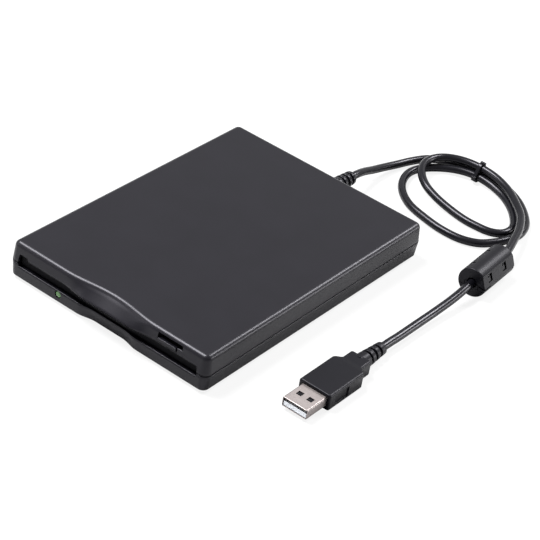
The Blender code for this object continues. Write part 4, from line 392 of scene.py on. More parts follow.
def revolve(profile, place, axis=(0, 1, 0), sides=64):
    """Closed shape turned about an axis: a ring of radius r at height h for each (r, h) of the profile."""
    axis, side, up = square_frame(axis)
    angle = np.linspace(0, 2 * np.pi, sides, endpoint=False)
    ray = np.cos(angle)[:, None] * side + np.sin(angle)[:, None] * up
    radius, height = np.asarray(profile, float).T
    return skin(np.asarray(place, float) + height[:, None, None] * axis + radius[:, None, None] * ray)


def bar(start, end, radius, sides=32):
    """Closed round bar between two points."""
    start, end = np.asarray(start, float), np.asarray(end, float)
    return revolve(((radius, 0), (radius, np.linalg.norm(end - start))), start, end - start, sides)


def rounded(corners, radii, steps=6):
    """Profile whose inner corners become quadratic curves that start and end a radius away."""
    corners = [np.asarray(corner, float) for corner in corners]
    out = [corners[0]]
    way = np.linspace(0, 1, steps)[:, None]
    for before, corner, after, radius in zip(corners, corners[1:], corners[2:], radii):
        start = corner + (before - corner) * min(radius / np.linalg.norm(before - corner), 0.5)
        end = corner + (after - corner) * min(radius / np.linalg.norm(after - corner), 0.5)
        out += list((1 - way) ** 2 * start + 2 * way * (1 - way) * corner + way**2 * end)
    return np.array(out + [corners[-1]])


def round_rectangle(half_width, half_height, radius, steps=6):
    """Outline of a rectangle with round corners: corner centre + radius * (cos a, sin a)."""
    corners = []
    for start, sx, sy in ((0, 1, 1), (90, -1, 1), (180, -1, -1), (270, 1, -1)):
        angle = np.radians(start + np.linspace(0, 90, steps + 1))
        centre = np.array((sx * (half_width - radius), sy * (half_height - radius)))
        corners.append(centre + radius * np.stack((np.cos(angle), np.sin(angle)), axis=1))
    return np.concatenate(corners)


def section(place, half_width, half_height, radius, axis=1, steps=6):
    """Ring of a round rectangle square to an axis; its width and height follow the other two axes."""
    outline = round_rectangle(half_width, half_height, radius, steps)
    ring = np.zeros((len(outline), 3))
    ring[:, ACROSS[axis]] = outline
    return ring + np.asarray(place, float)


def pad(low, high, edge, corner, axis=1, steps=5):
    """Closed block with a broken edge: round rectangles drawn in by edge * (1 - cos a) at both ends."""
    low, high = np.asarray(low, float), np.asarray(high, float)
    middle, half = (low + high) / 2, (high - low) / 2
    wide, tall = half[list(ACROSS[axis])]
    least = corner * 0.2      # round that the corners keep at both ends
    angle = np.linspace(0, np.pi / 2, steps)
    ends = [(half[axis] - edge * (1 - math.sin(a)), edge * (1 - math.cos(a))) for a in angle]
    rings = []
    for height, inset in [(-h, i) for h, i in ends[::-1]] + ends:
        place = middle.copy()
        place[axis] += height
        rings.append(section(place, wide - inset, tall - inset, max(corner - inset, least), axis))
    return skin(np.array(rings))


def bare_mesh(name, shapes):
    """Mesh of closed shapes with outward faces."""
    points, faces, start = [], [], 0
    for corners, polygons in shapes:
        points.append(np.asarray(corners, float))
        faces += [[start + corner for corner in polygon] for polygon in polygons]
        start += len(corners)
    mesh = bpy.data.meshes.new(name)
    mesh.from_pydata(np.concatenate(points).tolist(), [], faces)
    bm = bmesh.new()
    bm.from_mesh(mesh)
    bmesh.ops.recalc_face_normals(bm, faces=bm.faces)
    bm.to_mesh(mesh)
    bm.free()
    return mesh


def carved(name, shapes, steps):
    """Mesh of shapes after Boolean steps, each an operation and the closed shapes that it takes."""
    base = link(bpy.data.objects.new(name, bare_mesh(name, shapes)))
    used = [base]
    for operation, tools in steps:
        tool = link(bpy.data.objects.new(f"{name}_tool", bare_mesh(f"{name}_tool", tools)))
        used.append(tool)
        step = base.modifiers.new("step", "BOOLEAN")
        step.operation, step.solver, step.object = operation, "EXACT", tool
    bpy.context.view_layer.update()
    mesh = bpy.data.meshes.new_from_object(base.evaluated_get(bpy.context.evaluated_depsgraph_get()))
    for spare in used:
        data = spare.data
        bpy.data.objects.remove(spare)
        bpy.data.meshes.remove(data)
    mesh.name = name
    return mesh


def piece(name, made, body, look, replaced=(), flat=False):
    """A finished piece: its mesh, or closed shapes, smooth up to its sharp edges with its flats kept."""
    mesh = made if isinstance(made, bpy.types.Mesh) else bare_mesh(name, made)
    if not flat:
        mesh.shade_smooth()
        mesh.set_sharp_from_angle(angle=SMOOTH_EDGE)
    obj = link(bpy.data.objects.new(name, mesh))
    flats = obj.modifiers.new("flats", "WEIGHTED_NORMAL")
    flats.keep_sharp = True
    obj.data.materials.clear()
    obj.data.materials.append(look)
    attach(obj, body)
    if replaced:
        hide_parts(*replaced)
    return obj


def smooth_route(points, steps=40):
    """Points along the centripetal Catmull-Rom curve through a route."""
    route = np.array(points)
    ends = np.vstack((2 * route[0] - route[1], route, 2 * route[-1] - route[-2]))
    way = np.linspace(0, 1, steps, endpoint=False)[:, None]
    curve = []
    for before, start, end, after in zip(ends, ends[1:], ends[2:], ends[3:]):
        a, b, c = (np.linalg.norm(q - p) ** 0.5 for p, q in ((before, start), (start, end), (end, after)))
        leave = ((start - before) / a - (end - before) / (a + b) + (end - start) / b) * b
        reach = ((end - start) / b - (after - start) / (b + c) + (after - end) / c) * b
        curve.append(
            (2 * way**3 - 3 * way**2 + 1) * start + (way**3 - 2 * way**2 + way) * leave
            + (3 * way**2 - 2 * way**3) * end + (way**3 - way**2) * reach)
    return np.vstack(curve + [route[-1:]])


def even_points(curve, spacing):
    """The curve again with evenly spaced points, and its length."""
    way = np.concatenate(([0], np.cumsum(np.linalg.norm(np.diff(curve, axis=0), axis=1))))
    marks = np.linspace(0, way[-1], round(way[-1] / spacing) + 1)
    return np.stack([np.interp(marks, way, curve[:, axis]) for axis in range(3)], axis=1), way[-1]


def round_tube(path, radius, sides):
    """Rings of a tube: at each point, radius * (cos a * side + sin a * up), square to the path."""
    along = np.gradient(path, axis=0)
    along /= np.linalg.norm(along, axis=1, keepdims=True)
    side = np.cross(along, (0.0, 0.0, 1.0))
    side /= np.linalg.norm(side, axis=1, keepdims=True)
    up = np.cross(side, along)
    angle = np.linspace(0, 2 * np.pi, sides, endpoint=False)[None, :, None]
    radii = np.broadcast_to(np.asarray(radius, float), len(path))[:, None, None]
    return path[:, None] + radii * (np.cos(angle) * side[:, None] + np.sin(angle) * up[:, None])


def faces_front(columns):
    """The columns on the straight run of the front."""
    return columns[:, 3] < -0.999


def case_columns():
    """Centre and outward normal of each column round the case: straight runs and quarter circles in plan."""
    x_in, y_low, y_high = CASE_HALF - CORNER, FRONT + CORNER, BACK - CORNER
    fine = np.arange(-FINE_STEPS, FINE_STEPS + 1) * FINE_STEP
    close = [place + fine for place in (SLOT_HALF, -SLOT_HALF, NOTCH_END)]
    front = np.unique(np.round(np.concatenate((np.arange(-x_in, x_in, COLUMN_STEP), [x_in], *close)), 7))
    side = np.linspace(y_low, y_high, SIDE_COLUMNS)[1:-1]
    back = np.linspace(-x_in, x_in, BACK_COLUMNS)[1:-1]
    quarter = np.radians(np.linspace(0, 90, CORNER_COLUMNS))
    columns = [(x, y_low, 0, -1) for x in front]
    columns += [(x_in, y_low, math.sin(a), -math.cos(a)) for a in quarter[1:]]
    columns += [(x_in, y, 1, 0) for y in side]
    columns += [(x_in, y_high, math.cos(a), math.sin(a)) for a in quarter]
    columns += [(x, y_high, 0, 1) for x in back[::-1]]
    columns += [(-x_in, y_high, -math.sin(a), math.cos(a)) for a in quarter]
    columns += [(-x_in, y, -1, 0) for y in side[::-1]]
    columns += [(-x_in, y_low, -math.cos(a), -math.sin(a)) for a in quarter[:-1]]
    return np.array(columns)


def case_ring(columns, z, side, front, back):
    """One ring: centre + normal * (corner radius - inset), with the inset of the side that it faces."""
    normal = columns[:, 2:]
    end = np.where(normal[:, 1] < 0, front, back)
    reach = np.stack((CORNER - side + 0 * end, CORNER - end), axis=1)
    return np.column_stack((columns[:, :2] + normal * reach, z + 0 * end))


def share_at(distance, flat, ramp):
    """1 on the flat, then down half a cosine wave over the ramp."""
    way = np.clip((np.abs(distance) - flat) / ramp, 0, 1)
    return (1 + np.cos(np.pi * way)) / 2


def step_at(distance, half):
    """Smooth step from 0 to 1 over a distance of two halves."""
    way = np.clip((distance + half) / (2 * half), 0, 1)
    return way * way * (3 - 2 * way)


def in_slot(columns):
    """1 between the ends of the slot and 0 beside them, with a short soft step."""
    return np.where(faces_front(columns), step_at(SLOT_HALF - np.abs(columns[:, 0]), SLOT_SOFT), 0)


def upper_relief(x, z):
    """How far the upper front is set back: the hollow grows with height, the brow fades with it."""
    rise = np.clip((z - BROW_TOP) / (HOLLOW_TOP - BROW_TOP), 0, 1)
    brow = BROW * share_at(x - RELIEF_X, BROW_FLAT, BROW_RAMP)
    return TOP_HOLLOW * share_at(x - RELIEF_X, 0, TOP_HOLLOW_HALF) * rise - brow * (1 - rise)


def lower_relief(x, z):
    """How far the lower front is set back: a hollow that is half as deep at the seam as at the base."""
    rise = (z - BASE) / (SEAM_LOW - BASE)
    return LOW_HOLLOW * (1 - 0.5 * rise) * share_at(x - RELIEF_X, LOW_FLAT, LOW_RAMP)


def rim_tilt(columns, rim):
    """Sine and cosine of the slope of a rim along the front, for rows square to it."""
    facing = faces_front(columns)
    slope = np.zeros(len(columns))
    slope[facing] = np.gradient(rim[facing], columns[facing, 0])
    length = np.sqrt(1 + slope**2)
    return -slope / length, 1 / length


def rim_rows():
    """Rows over a rim as (share of the wall's thickness, height): inner round, flat, outer round."""
    angle = np.linspace(0, np.pi / 2, LIP_ROWS)
    outer = [(LIP / WALL * (1 - math.sin(a)), LIP * (1 - math.cos(a))) for a in angle[::-1]]
    return [(1 - depth, height) for depth, height in outer[::-1]] + outer


def shell_rings(ring, rim, tilt, away, foot, limit):
    """Rows from the foot of the inner wall over the rim and along the outer wall to a limit."""
    aside, along = tilt
    rings = [ring(foot + (rim - foot) * share, 0, 1) for share in INNER_SHARES]
    for depth, height in rim_rows():
        made = ring(rim + away * along * height, 0, depth)
        made[:, 0] += away * aside * height
        rings.append(made)
    start = rim + away * along * LIP
    for share in np.linspace(0, 1, WALL_ROWS)[1:]:
        made = ring(start + (limit - start) * share, 0, 0)
        made[:, 0] += away * aside * LIP * (1 - share) ** 3
        rings.append(made)
    return rings


def front_wall(columns, made, outer, inner, depth):
    """Move a ring's front: outer + depth * (inner - outer), which fades into the ring round the corners."""
    facing = np.clip(-columns[:, 3], 0, 1)
    reach = facing * inner + (1 - facing) * made[:, 1]
    least = 0.05      # columns that face the front less than this stay
    made[:, 1] = np.where(facing > least, outer + depth * (reach - outer), made[:, 1])
    return made


def upper_shell():
    """Rings from the inner roof down the inner wall, round the rim and up the outer wall to the roof."""
    columns = case_columns()
    x = columns[:, 0]
    straight = faces_front(columns)
    slot = in_slot(columns)
    rim = SEAM_HIGH + (SLOT_TOP - SEAM_HIGH) * slot
    rim += NOTCH_RISE * np.where(straight, slot * step_at(NOTCH_END - x, SLOT_SOFT), 0)

    def ring(z, inset, depth, inner=INNER_FRONT):
        z = z + 0 * x
        lean = LEAN * np.clip((z - SEAM_HIGH) / (TOP_EDGE_LOW - SEAM_HIGH), 0, 1) + inset
        made = case_ring(columns, z, lean + WALL * depth, lean + WALL * depth, lean + WALL * depth)
        outer = case_ring(columns, z, lean, lean, lean)[:, 1] + np.where(straight, upper_relief(x, z), 0)
        return front_wall(columns, made, outer, inner, depth)

    ceiling = TOP - WALL
    rings = [ring(ceiling, inset, 1, HOLLOW_BACK + inset) for inset in ROOF_INSETS]
    rings += [ring(z, 0, 1, HOLLOW_BACK) for z in (ceiling - ROOF_DROP, HOLLOW_LOW)]
    rings.append(ring(HOLLOW_LOW - INNER_STEP, 0, 1))
    rings += shell_rings(ring, rim, rim_tilt(columns, rim), 1, HOLLOW_LOW, TOP_EDGE_LOW)
    for angle in np.radians(np.linspace(0, 90, TOP_ROWS))[1:]:
        rings.append(ring(TOP_EDGE_LOW + TOP_EDGE * math.sin(angle), TOP_EDGE * (1 - math.cos(angle)), 0))
    rings += [ring(TOP, TOP_EDGE + inset, 0) for inset in TOP_INSETS]
    return skin(np.array(rings))


def lower_shell():
    """Rings from the inner floor up the inner wall, over the rim and down the outer wall to the base."""
    columns = case_columns()
    x = columns[:, 0]
    straight = faces_front(columns)
    rim = SEAM_LOW + (SLOT_LOW - SEAM_LOW) * in_slot(columns)

    def ring(z, inset, depth):
        z = z + 0 * x
        share = np.clip((SEAM_LOW - z) / (SEAM_LOW - BASE_EDGE_HIGH), 0, 1)
        insets = [share * base + inset for base in BASE_INSETS]
        made = case_ring(columns, z, *(one + WALL * depth for one in insets))
        relief = np.where(straight, lower_relief(x, np.maximum(z, BASE)), 0)
        return front_wall(columns, made, case_ring(columns, z, *insets)[:, 1] + relief, LOWER_INNER, depth)

    floor_z = BASE + WALL
    rings = [ring(floor_z, inset, 1) for inset in FLOOR_INSETS]
    rings += shell_rings(ring, rim, rim_tilt(columns, rim), -1, floor_z, BASE_EDGE_HIGH)
    for angle in np.radians(np.linspace(0, 90, BASE_ROWS))[1:]:
        rings.append(ring(BASE_EDGE_HIGH - BASE_EDGE * math.sin(angle), BASE_EDGE * (1 - math.cos(angle)), 0))
    rings += [ring(BASE, BASE_EDGE + inset, 0) for inset in FLAT_INSETS]
    return skin(np.array(rings))


def exit_hole():
    """Cutter for the neck of the strain relief."""
    return bar((EXIT_X, BACK - 2 * OVERRUN, EXIT_Z), (EXIT_X, BACK + OVERRUN, EXIT_Z), EXIT_HOLE, sides=48)


def front_cutter(left, right, low, high, corner, rows):
    """Cutter through the front wall: a round rectangle that is grown at each depth as its row says."""
    return skin(np.array([
        section(((left + right) / 2, FRONT + depth * MM, (low + high) / 2), (right - left) / 2 + grow * MM,
                (high - low) / 2 + grow * MM, corner) for depth, grow in rows]))


def upper_cover():
    """Upper shell with screw posts, ears for the flap, the button's opening and the pocket above it."""
    ear_front, ear_back, ear_drop = 0.7 * MM, 1.7 * MM, 0.85 * MM
    pin_near, pin_away = 46.0 * MM, 50.0 * MM
    posts, holes, ears, ear_holes = [], [], [], []
    for side in (-1, 1):
        x = side * SCREW_X
        posts.append(bar((x, SCREW_Y, SEAM_HIGH), (x, SCREW_Y, TOP - WALL / 2), POST))
        holes.append(bar((x, SCREW_Y, 0), (x, SCREW_Y, SCREW_HOLE_TOP), SCREW_HOLE))
        near, away = sorted((side * EAR_NEAR, side * EAR_AWAY))
        ears.append(cuboid((near, INNER_FRONT - ear_front, DOOR_Z - ear_drop),
                           (away, INNER_FRONT + ear_back, EAR_TOP)))
        ear_holes.append(bar((side * pin_near, DOOR_Y, DOOR_Z), (side * pin_away, DOOR_Y, DOOR_Z), EAR_HOLE))
    low, high = BUTTON
    opening = front_cutter(low[0], high[0], low[2], high[2], corner=0.4 * MM, rows=BUTTON_HOLE)
    pocket = front_cutter(*POCKET, corner=0.35 * MM, rows=POCKET_WALLS)
    made = carved("upper_shell", [upper_shell()], (
        ("UNION", posts + ears), ("DIFFERENCE", holes + ear_holes + [exit_hole(), opening]),
        ("DIFFERENCE", [pocket])))
    piece("upper_shell", made, "case", LOOKS["case_plastic"], ["top_cover"])


def lower_cover():
    """Lower shell with posts, screw holes and their sinks, recesses for the feet and the lens's hole."""
    foot_hole, foot_seat, foot_bevel, foot_depth = 4.6 * MM, 4.3 * MM, 0.15 * MM, 0.5 * MM
    under, beyond, chassis_top = -MM, 2.0 * MM, 5.0 * MM
    posts, holes, sinks = [], [], []
    for side in (-1, 1):
        x = side * SCREW_X
        posts.append(bar((x, SCREW_Y, BASE + WALL / 2), (x, SCREW_Y, SEAM_LOW), POST))
        holes.append(bar((x, SCREW_Y, under), (x, SCREW_Y, SEAM_LOW + beyond), SCREW_HOLE))
        sinks.append(bar((x, SCREW_Y, under), (x, SCREW_Y, BASE + SCREW_SINK_DEPTH), SCREW_SINK))
        x = side * BOARD_POST_X
        posts.append(bar((x, BOARD_POST_Y, BASE + WALL / 2), (x, BOARD_POST_Y, BOARD_POST_TOP), BOARD_POST))
    for x, y in CHASSIS_SCREWS:
        holes.append(bar((x, y, under), (x, y, chassis_top), CHASSIS_HOLE))
        sinks.append(bar((x, y, under), (x, y, BASE + CHASSIS_SINK_DEPTH), CHASSIS_SINK))
    recess = ((foot_hole, -OVERRUN), (foot_hole, 0), (foot_seat, foot_bevel), (foot_seat, foot_depth))
    sinks += [revolve(recess, (x, y, BASE), (0, 0, 1)) for x, y in FEET]
    lens_hole = bar(
        (LENS_X, FRONT - OVERRUN, LENS_Z), (LENS_X, LOWER_INNER + beyond, LENS_Z), LENS_HOLE, sides=40)
    made = carved("lower_shell", [lower_shell()], (
        ("UNION", posts), ("DIFFERENCE", holes + [exit_hole(), lens_hole]), ("DIFFERENCE", sinks)))
    piece("lower_shell", made, "case", LOOKS["case_plastic"], ["bottom_cover"])


def slot_flap():
    """Flap behind the slot with its two pins."""
    half, low, thick = 46.7 * MM, 7.35 * MM, 0.7 * MM
    pin_end, pin_radius = 48.4 * MM, 0.5 * MM
    flap = pad((-half, DOOR_Y - thick / 2, low), (half, DOOR_Y + thick / 2, DOOR_Z),
               edge=0.15 * MM, corner=0.3 * MM)
    pins = bar((-pin_end, DOOR_Y, DOOR_Z), (pin_end, DOOR_Y, DOOR_Z), pin_radius, sides=24)
    # its look is darker than the case: painted shade of the slot's inside
    piece("slot_flap", carved("slot_flap", [flap], [("UNION", [pins])]), "door",
          LOOKS["flap_plastic"], ["slot_door"])


def button_and_lens():
    """Button, and the lens: a shallow dome, a stem and a flange inside the case."""
    button = pad(*BUTTON, edge=0.22 * MM, corner=0.3 * MM)
    piece("button", [button], "slide", LOOKS["case_plastic"], ["eject_button"])
    radius, bulge, recess = 1.45 * MM, 0.55 * MM, 0.2 * MM
    flange, flange_start, flange_end, closing = 1.85 * MM, 2.9 * MM, 3.8 * MM, 0.2 * MM
    profile = [(radius * math.sin(a), bulge * (1 - math.cos(a))) for a in np.radians(np.linspace(4, 90, 10))]
    profile += [(radius, flange_start), (flange, flange_start), (flange, flange_end), (closing, flange_end)]
    made = revolve(profile, (LENS_X, FRONT + recess, LENS_Z), sides=48)
    piece("lens", [made], "case", LOOKS["lens_green"], ["led_lens"])


def feet():
    """Rubber feet with a round lower edge."""
    radius, height, round_edge, top_edge, closing = 4.0 * MM, 1.4 * MM, 0.5 * MM, 0.1 * MM, 0.3 * MM
    corners = ((closing, height), (radius, height), (radius, 0), (closing, 0))
    profile = rounded(corners, (top_edge, round_edge))
    for number, (x, y) in enumerate(FEET, 1):
        piece(f"foot_pad_{number}", [revolve(profile, (x, y, 0), (0, 0, 1))], "case",
              LOOKS["foot_rubber"], [f"rubber_foot_{number}"])


def screws():
    """Slotted screws; a profile is turned about Z, with its radii and heights in mm above the head."""
    kinds = (        # name, places, shaft and head radius, thickness of the head, length of the shaft
        ("case_screw", ((-SCREW_X, SCREW_Y), (SCREW_X, SCREW_Y)), 1.2, 2.4, 1.2, 10.0),
        ("chassis_screw", CHASSIS_SCREWS, 1.0, 2.0, 0.6, 1.6))
    closing, end_share, root_share, neck_share = 0.1, 0.85, 0.82, 0.9
    pitch, start, bevel, dome, rim, crown = 0.5, 0.3, 0.25, 0.6, 0.3, 0.05
    low, slot_half, slot_length = BASE + 0.2 * MM, 0.3 * MM, 4.0 * MM
    for kind, places, shaft, head, thick, length in kinds:
        tip = thick + length
        profile = [(closing, tip), (shaft * end_share, tip)]
        for turn in np.arange(tip - start, thick + pitch, -pitch):
            profile += [(shaft, turn), (shaft * root_share, turn - pitch / 2)]
        profile += [(shaft * neck_share, thick), (head, thick), (head, rim), (head - bevel, crown)]
        profile += [(head - dome, 0), (closing, 0)]
        for number, (x, y) in enumerate(places, 1):
            name = f"{kind}_slotted_{number}"
            turned = revolve(np.array(profile) * MM, (x, y, low), (0, 0, 1), sides=40)
            groove = cuboid((x - slot_length, y - slot_half, low - MM),
                            (x + slot_length, y + slot_half, low + thick / 2 * MM))
            piece(name, carved(name, [turned], [("DIFFERENCE", [groove])]), "case",
                  LOOKS["steel_bright"], [f"{kind}_{number}"])


def groove_corners(radius, starts, width, depth):
    """Corners of grooves in the profile of a tapered sleeve, whose radius is a function of the place."""
    corners = []
    for low in starts:
        high = low + width
        corners += [(radius(low), low), (radius(low) - depth, low)]
        corners += [(radius(high) - depth, high), (radius(high), high)]
    return corners


def bore_corners(end):
    """Corners of the bore that the cord enters at the end of a sleeve."""
    return [(CORD_BORE, end), (CORD_BORE, end - BORE_DEPTH), (CORE_RADIUS, end - BORE_DEPTH)]


def strain_relief():
    """Tapered sleeve with four grooves, a flange inside the case and a bore for the cord."""
    flange, flange_start, flange_end = 5.2 * MM, 68.3 * MM, 69.3 * MM
    neck, root, root_radius, end, end_radius = 3.3 * MM, 72.9 * MM, 4.3 * MM, 87.8 * MM, 3.15 * MM
    starts, width, depth = (75.4 * MM, 78.5 * MM, 81.6 * MM, 84.7 * MM), 1.2 * MM, 0.9 * MM

    def radius(y):
        return root_radius + (end_radius - root_radius) * (y - root) / (end - root)

    corners = [(CORE_RADIUS, flange_start), (flange, flange_start), (flange, flange_end), (neck, flange_end)]
    corners += [(neck, root), (root_radius, root)] + groove_corners(radius, starts, width, depth)
    corners += [(end_radius, end)] + bore_corners(end)
    rounds = [0.2, 0.2, 0.05, 0.05, 0.6] + [0.45, 0.25, 0.25, 0.45] * len(starts) + [0.5, 0.2, 0.1]
    profile = rounded(corners, np.array(rounds) * MM)
    piece("cord_sleeve", [revolve(profile, (EXIT_X, 0, EXIT_Z))], "case",
          LOOKS["cord_plastic"], ["strain_relief"])


def band(centres, inner, outer, half, x):
    """Band round circles: rings of a round section along the hull that is drawn tight round them."""
    rings = []
    inner_edge, outer_edge, flat_share, steps = 0.15 * MM, 0.2 * MM, 0.75, 14
    section_x = np.array((-1, -flat_share, flat_share, 1, 1, flat_share, -flat_share, -1)) * half
    section_r = np.array((
        inner + inner_edge, inner, inner, inner + inner_edge,
        outer - outer_edge, outer, outer, outer - outer_edge))
    for before, centre, after in zip(centres[-1:] + centres[:-1], centres, centres[1:] + centres[:1]):
        start = math.atan2(centre[1] - before[1], centre[0] - before[0]) - math.pi / 2
        end = math.atan2(after[1] - centre[1], after[0] - centre[0]) - math.pi / 2
        for angle in np.linspace(start, start + (end - start) % (2 * math.pi), steps):
            rings.append(np.stack((
                x + section_x, centre[0] + section_r * math.cos(angle),
                centre[1] + section_r * math.sin(angle)), axis=1))
    return looped(np.array(rings))


def cord_band():
    """Tie round the three strands of the cord, with its head and a short tail."""
    x, clearance, thick, half, spacing = 34.4 * MM, 0.2 * MM, 0.7 * MM, 0.95 * MM, 0.4 * MM
    path, _ = even_points(smooth_route(CORD_ROUTE), spacing)
    passes = path[:-1][(path[:-1, 0] < x) & (path[1:, 0] >= x)][:, 1:]
    passes = passes[np.argsort(passes[:, 1])][:3]
    centres = sorted(tuple(place) for place in passes[:2]) + [tuple(passes[2])]
    strap = band(centres, CORD_RADIUS + clearance, CORD_RADIUS + clearance + thick, half, x)
    (head_y, head_z), (tail_y, tail_z) = centres[0], centres[2]
    head_half, head_out, head_in = 1.1 * MM, CORD_RADIUS + 1.5 * MM, CORD_RADIUS + 0.5 * MM
    head = pad((x - head_half, head_y - head_out, head_z - head_half),
               (x + head_half, head_y - head_in, head_z + head_half), edge=0.25 * MM, corner=0.3 * MM)
    tail_start, tail_end, tail_half = 0.8 * MM, 2.0 * MM, 0.6 * MM
    tail_low, tail_high = CORD_RADIUS + 0.7 * MM, CORD_RADIUS + 1.5 * MM
    tail = pad((x - tail_start, tail_y - tail_half, tail_z + tail_low),
               (x + tail_end, tail_y + tail_half, tail_z + tail_high), edge=0.2 * MM, corner=0.3 * MM, axis=2)
    piece("cord_band", [strap, head, tail], "case", LOOKS["cord_plastic"], ["cord_tie"])


def cuts(*groups):
    """Boolean steps that take away one group of shapes after the other."""
    return [("DIFFERENCE", group) for group in groups]


def clip_bar(radius, half, edge):
    """Round bar along Y with rounded ends, about the clip's own axis."""
    closing = 0.05 * MM
    profile = rounded(((closing, -half), (radius, -half), (radius, half), (closing, half)), (edge, edge))
    return revolve(profile, (0, 0, 0), sides=96)


def leaning_block(angle, near, away, low_y, high_y, half_width):
    """Box outside a flat whose normal leans at an angle in the XZ plane."""
    points, faces = cuboid((near, low_y, -half_width), (away, high_y, half_width))
    c, s = math.cos(angle), math.sin(angle)
    return points @ np.array(((c, 0, s), (0, 1, 0), (-s, 0, c))), faces


def clip_knuckles(gap, radius):
    """Knuckles of the clip's hinge, or the room round them where a gap is given."""
    stand_off = 0.2 * MM
    x = -math.sqrt(CLIP_RADIUS**2 - CLIP_SPLIT**2) - stand_off
    reaches = {"front": (-9.0 * MM, -3.0 * MM), "middle": (-2.7 * MM, 2.7 * MM), "back": (3.0 * MM, 9.0 * MM)}
    return {name: bar((x, low - gap, CLIP_SPLIT), (x, high + gap, CLIP_SPLIT), radius, sides=24)
            for name, (low, high) in reaches.items()}


def clip_windows():
    """Cutters for the latch's flat, its two windows and the small ticks, and the hooks in the windows."""
    lean, window_lean, tick_lean = (math.radians(angle) for angle in (22, 27, 128))
    hook_turn = 0.05      # radians from the lean of the windows
    flat_out = CLIP_RADIUS - 0.65 * MM
    flat = leaning_block(lean, flat_out, flat_out + CLIP_RADIUS, -CLIP_FAR, CLIP_FAR, CLIP_RADIUS)
    floor_out, length, half = flat_out - 0.75 * MM, 3.2 * MM, 1.8 * MM
    hook_low, hook_high, hook_near, hook_away, hook_half = 0.3 * MM, 0.12 * MM, 0.15 * MM, 1.9 * MM, 0.9 * MM
    windows, hooks = [], []
    for start in (3.8 * MM - CLIP_HALF, 15.8 * MM - CLIP_HALF):
        windows.append(leaning_block(
            window_lean, floor_out, floor_out + CLIP_RADIUS, start, start + length, half))
        hooks.append(leaning_block(
            window_lean - hook_turn, floor_out - hook_low, flat_out - hook_high, start + hook_near,
            start + hook_away, hook_half))
    depth, reach, tick_half = 0.5 * MM, 0.5 * MM, 1.4 * MM
    ticks = [leaning_block(tick_lean, CLIP_RADIUS - depth, CLIP_RADIUS + MM, y - reach, y + reach, tick_half)
             for y in (-6.5 * MM, 6.0 * MM)]
    return [flat], windows + ticks, hooks


def clip_slits():
    """Cutters for the slit at both ends: shallow along the side, deep in the end faces."""
    lean, half, out = math.radians(-6), 0.32 * MM, CLIP_RADIUS + MM
    cutters = (         # how far out its floor is, and its reaches in mm from the front end
        (CLIP_RADIUS - 1.0 * MM, ((-1.0, 5.2), (23.4, 27.0))),
        (3.6 * MM, ((-1.0, 0.4), (25.0, 27.0))))
    return [[leaning_block(lean, floor_out, out, low * MM - CLIP_HALF, high * MM - CLIP_HALF, half)
             for low, high in reaches] for floor_out, reaches in cutters]


def ferrite_clip():
    """Two halves of the case round the core: round bars cut at the split, with hinge, flat and windows."""
    edge, shut, seat, seat_gap = 0.7 * MM, 0.15 * MM, 3.4 * MM, 0.3 * MM
    room_half, room_radius, bore_radius = 11.1 * MM, 5.4 * MM, 2.4 * MM
    far, split = CLIP_FAR, CLIP_SPLIT
    room = [bar((0, -room_half, 0), (0, room_half, 0), room_radius, sides=96)]
    bore = [bar((0, -far, 0), (0, far, 0), bore_radius, sides=48)]
    knuckles, rooms = clip_knuckles(gap=0, radius=0.7 * MM), clip_knuckles(gap=0.3 * MM, radius=1.0 * MM)
    flat, windows, hooks = clip_windows()
    slits = cuts(*clip_slits())
    above = [cuboid((-far, -far, -shut), (far, far, far))]
    beside = [cuboid((-far, -far, split - shut), (seat_gap - seat, far, far)),
              cuboid((seat - seat_gap, -far, split - shut), (far, far, far))]
    below = [cuboid((-far, -far, -far), (far, far, split + shut))]
    between = [cuboid((-seat, -far, -far), (seat, far, shut))]
    lower = carved("clip_lower", [clip_bar(CLIP_RADIUS, CLIP_HALF, edge)], [
        *cuts(room, bore, above, beside, [rooms["middle"]]),
        ("UNION", [knuckles["front"], knuckles["back"]]), *slits])
    upper = carved("clip_upper", [clip_bar(CLIP_RADIUS, CLIP_HALF, edge)], [
        *cuts(room, bore, below, between, [rooms["front"], rooms["back"]]),
        ("UNION", [knuckles["middle"]]), *cuts(flat, windows), ("UNION", hooks), *slits])
    for name, mesh, body, replaced in (
            ("clip_lower", lower, "case", "ferrite_case_lower"),
            ("clip_upper", upper, "ferrite_lid", "ferrite_case_upper")):
        mesh.transform(Matrix.Translation(CLIP_PLACE) @ Matrix.Rotation(CLIP_TURN, 4, "Z"))
        piece(name, mesh, body, LOOKS["grip_plastic"], [replaced])


def plug_ring(y, half_width, half_height, corner, steps=6):
    """Ring of a round rectangle square to the plug's length."""
    return section((PLUG_X, y, PLUG_Z), half_width, half_height, corner, 1, steps)


def grip_body():
    """Grip: an edge of a quarter circle at both ends, and a smooth step down to the neck."""
    front, taper, taper_end = -41.6 * MM, -20.6 * MM, -17.1 * MM
    wide, high, neck_wide, neck_high, corner = 7.7 * MM, 3.75 * MM, 5.0 * MM, 3.5 * MM, 1.1 * MM
    front_edge, back_edge = 0.7 * MM, 1.0 * MM
    quarter = np.radians(np.linspace(0, 90, 6))
    rings = []
    for angle in quarter:
        inset = front_edge * (1 - math.sin(angle))
        y = front + front_edge * (1 - math.cos(angle))
        rings.append(plug_ring(y, wide - inset, high - inset, corner))
    for way in np.linspace(0, 1, 9):
        share = step_at(way - 0.5, 0.5)
        rings.append(plug_ring(taper + (taper_end - taper) * way, wide + (neck_wide - wide) * share,
                               high + (neck_high - high) * share, corner))
    for angle in quarter:
        inset = back_edge * (1 - math.cos(angle))
        y = GRIP_BACK - back_edge * (1 - math.sin(angle))
        rings.append(plug_ring(y, neck_wide - inset, neck_high - inset, corner))
    return skin(np.array(rings))


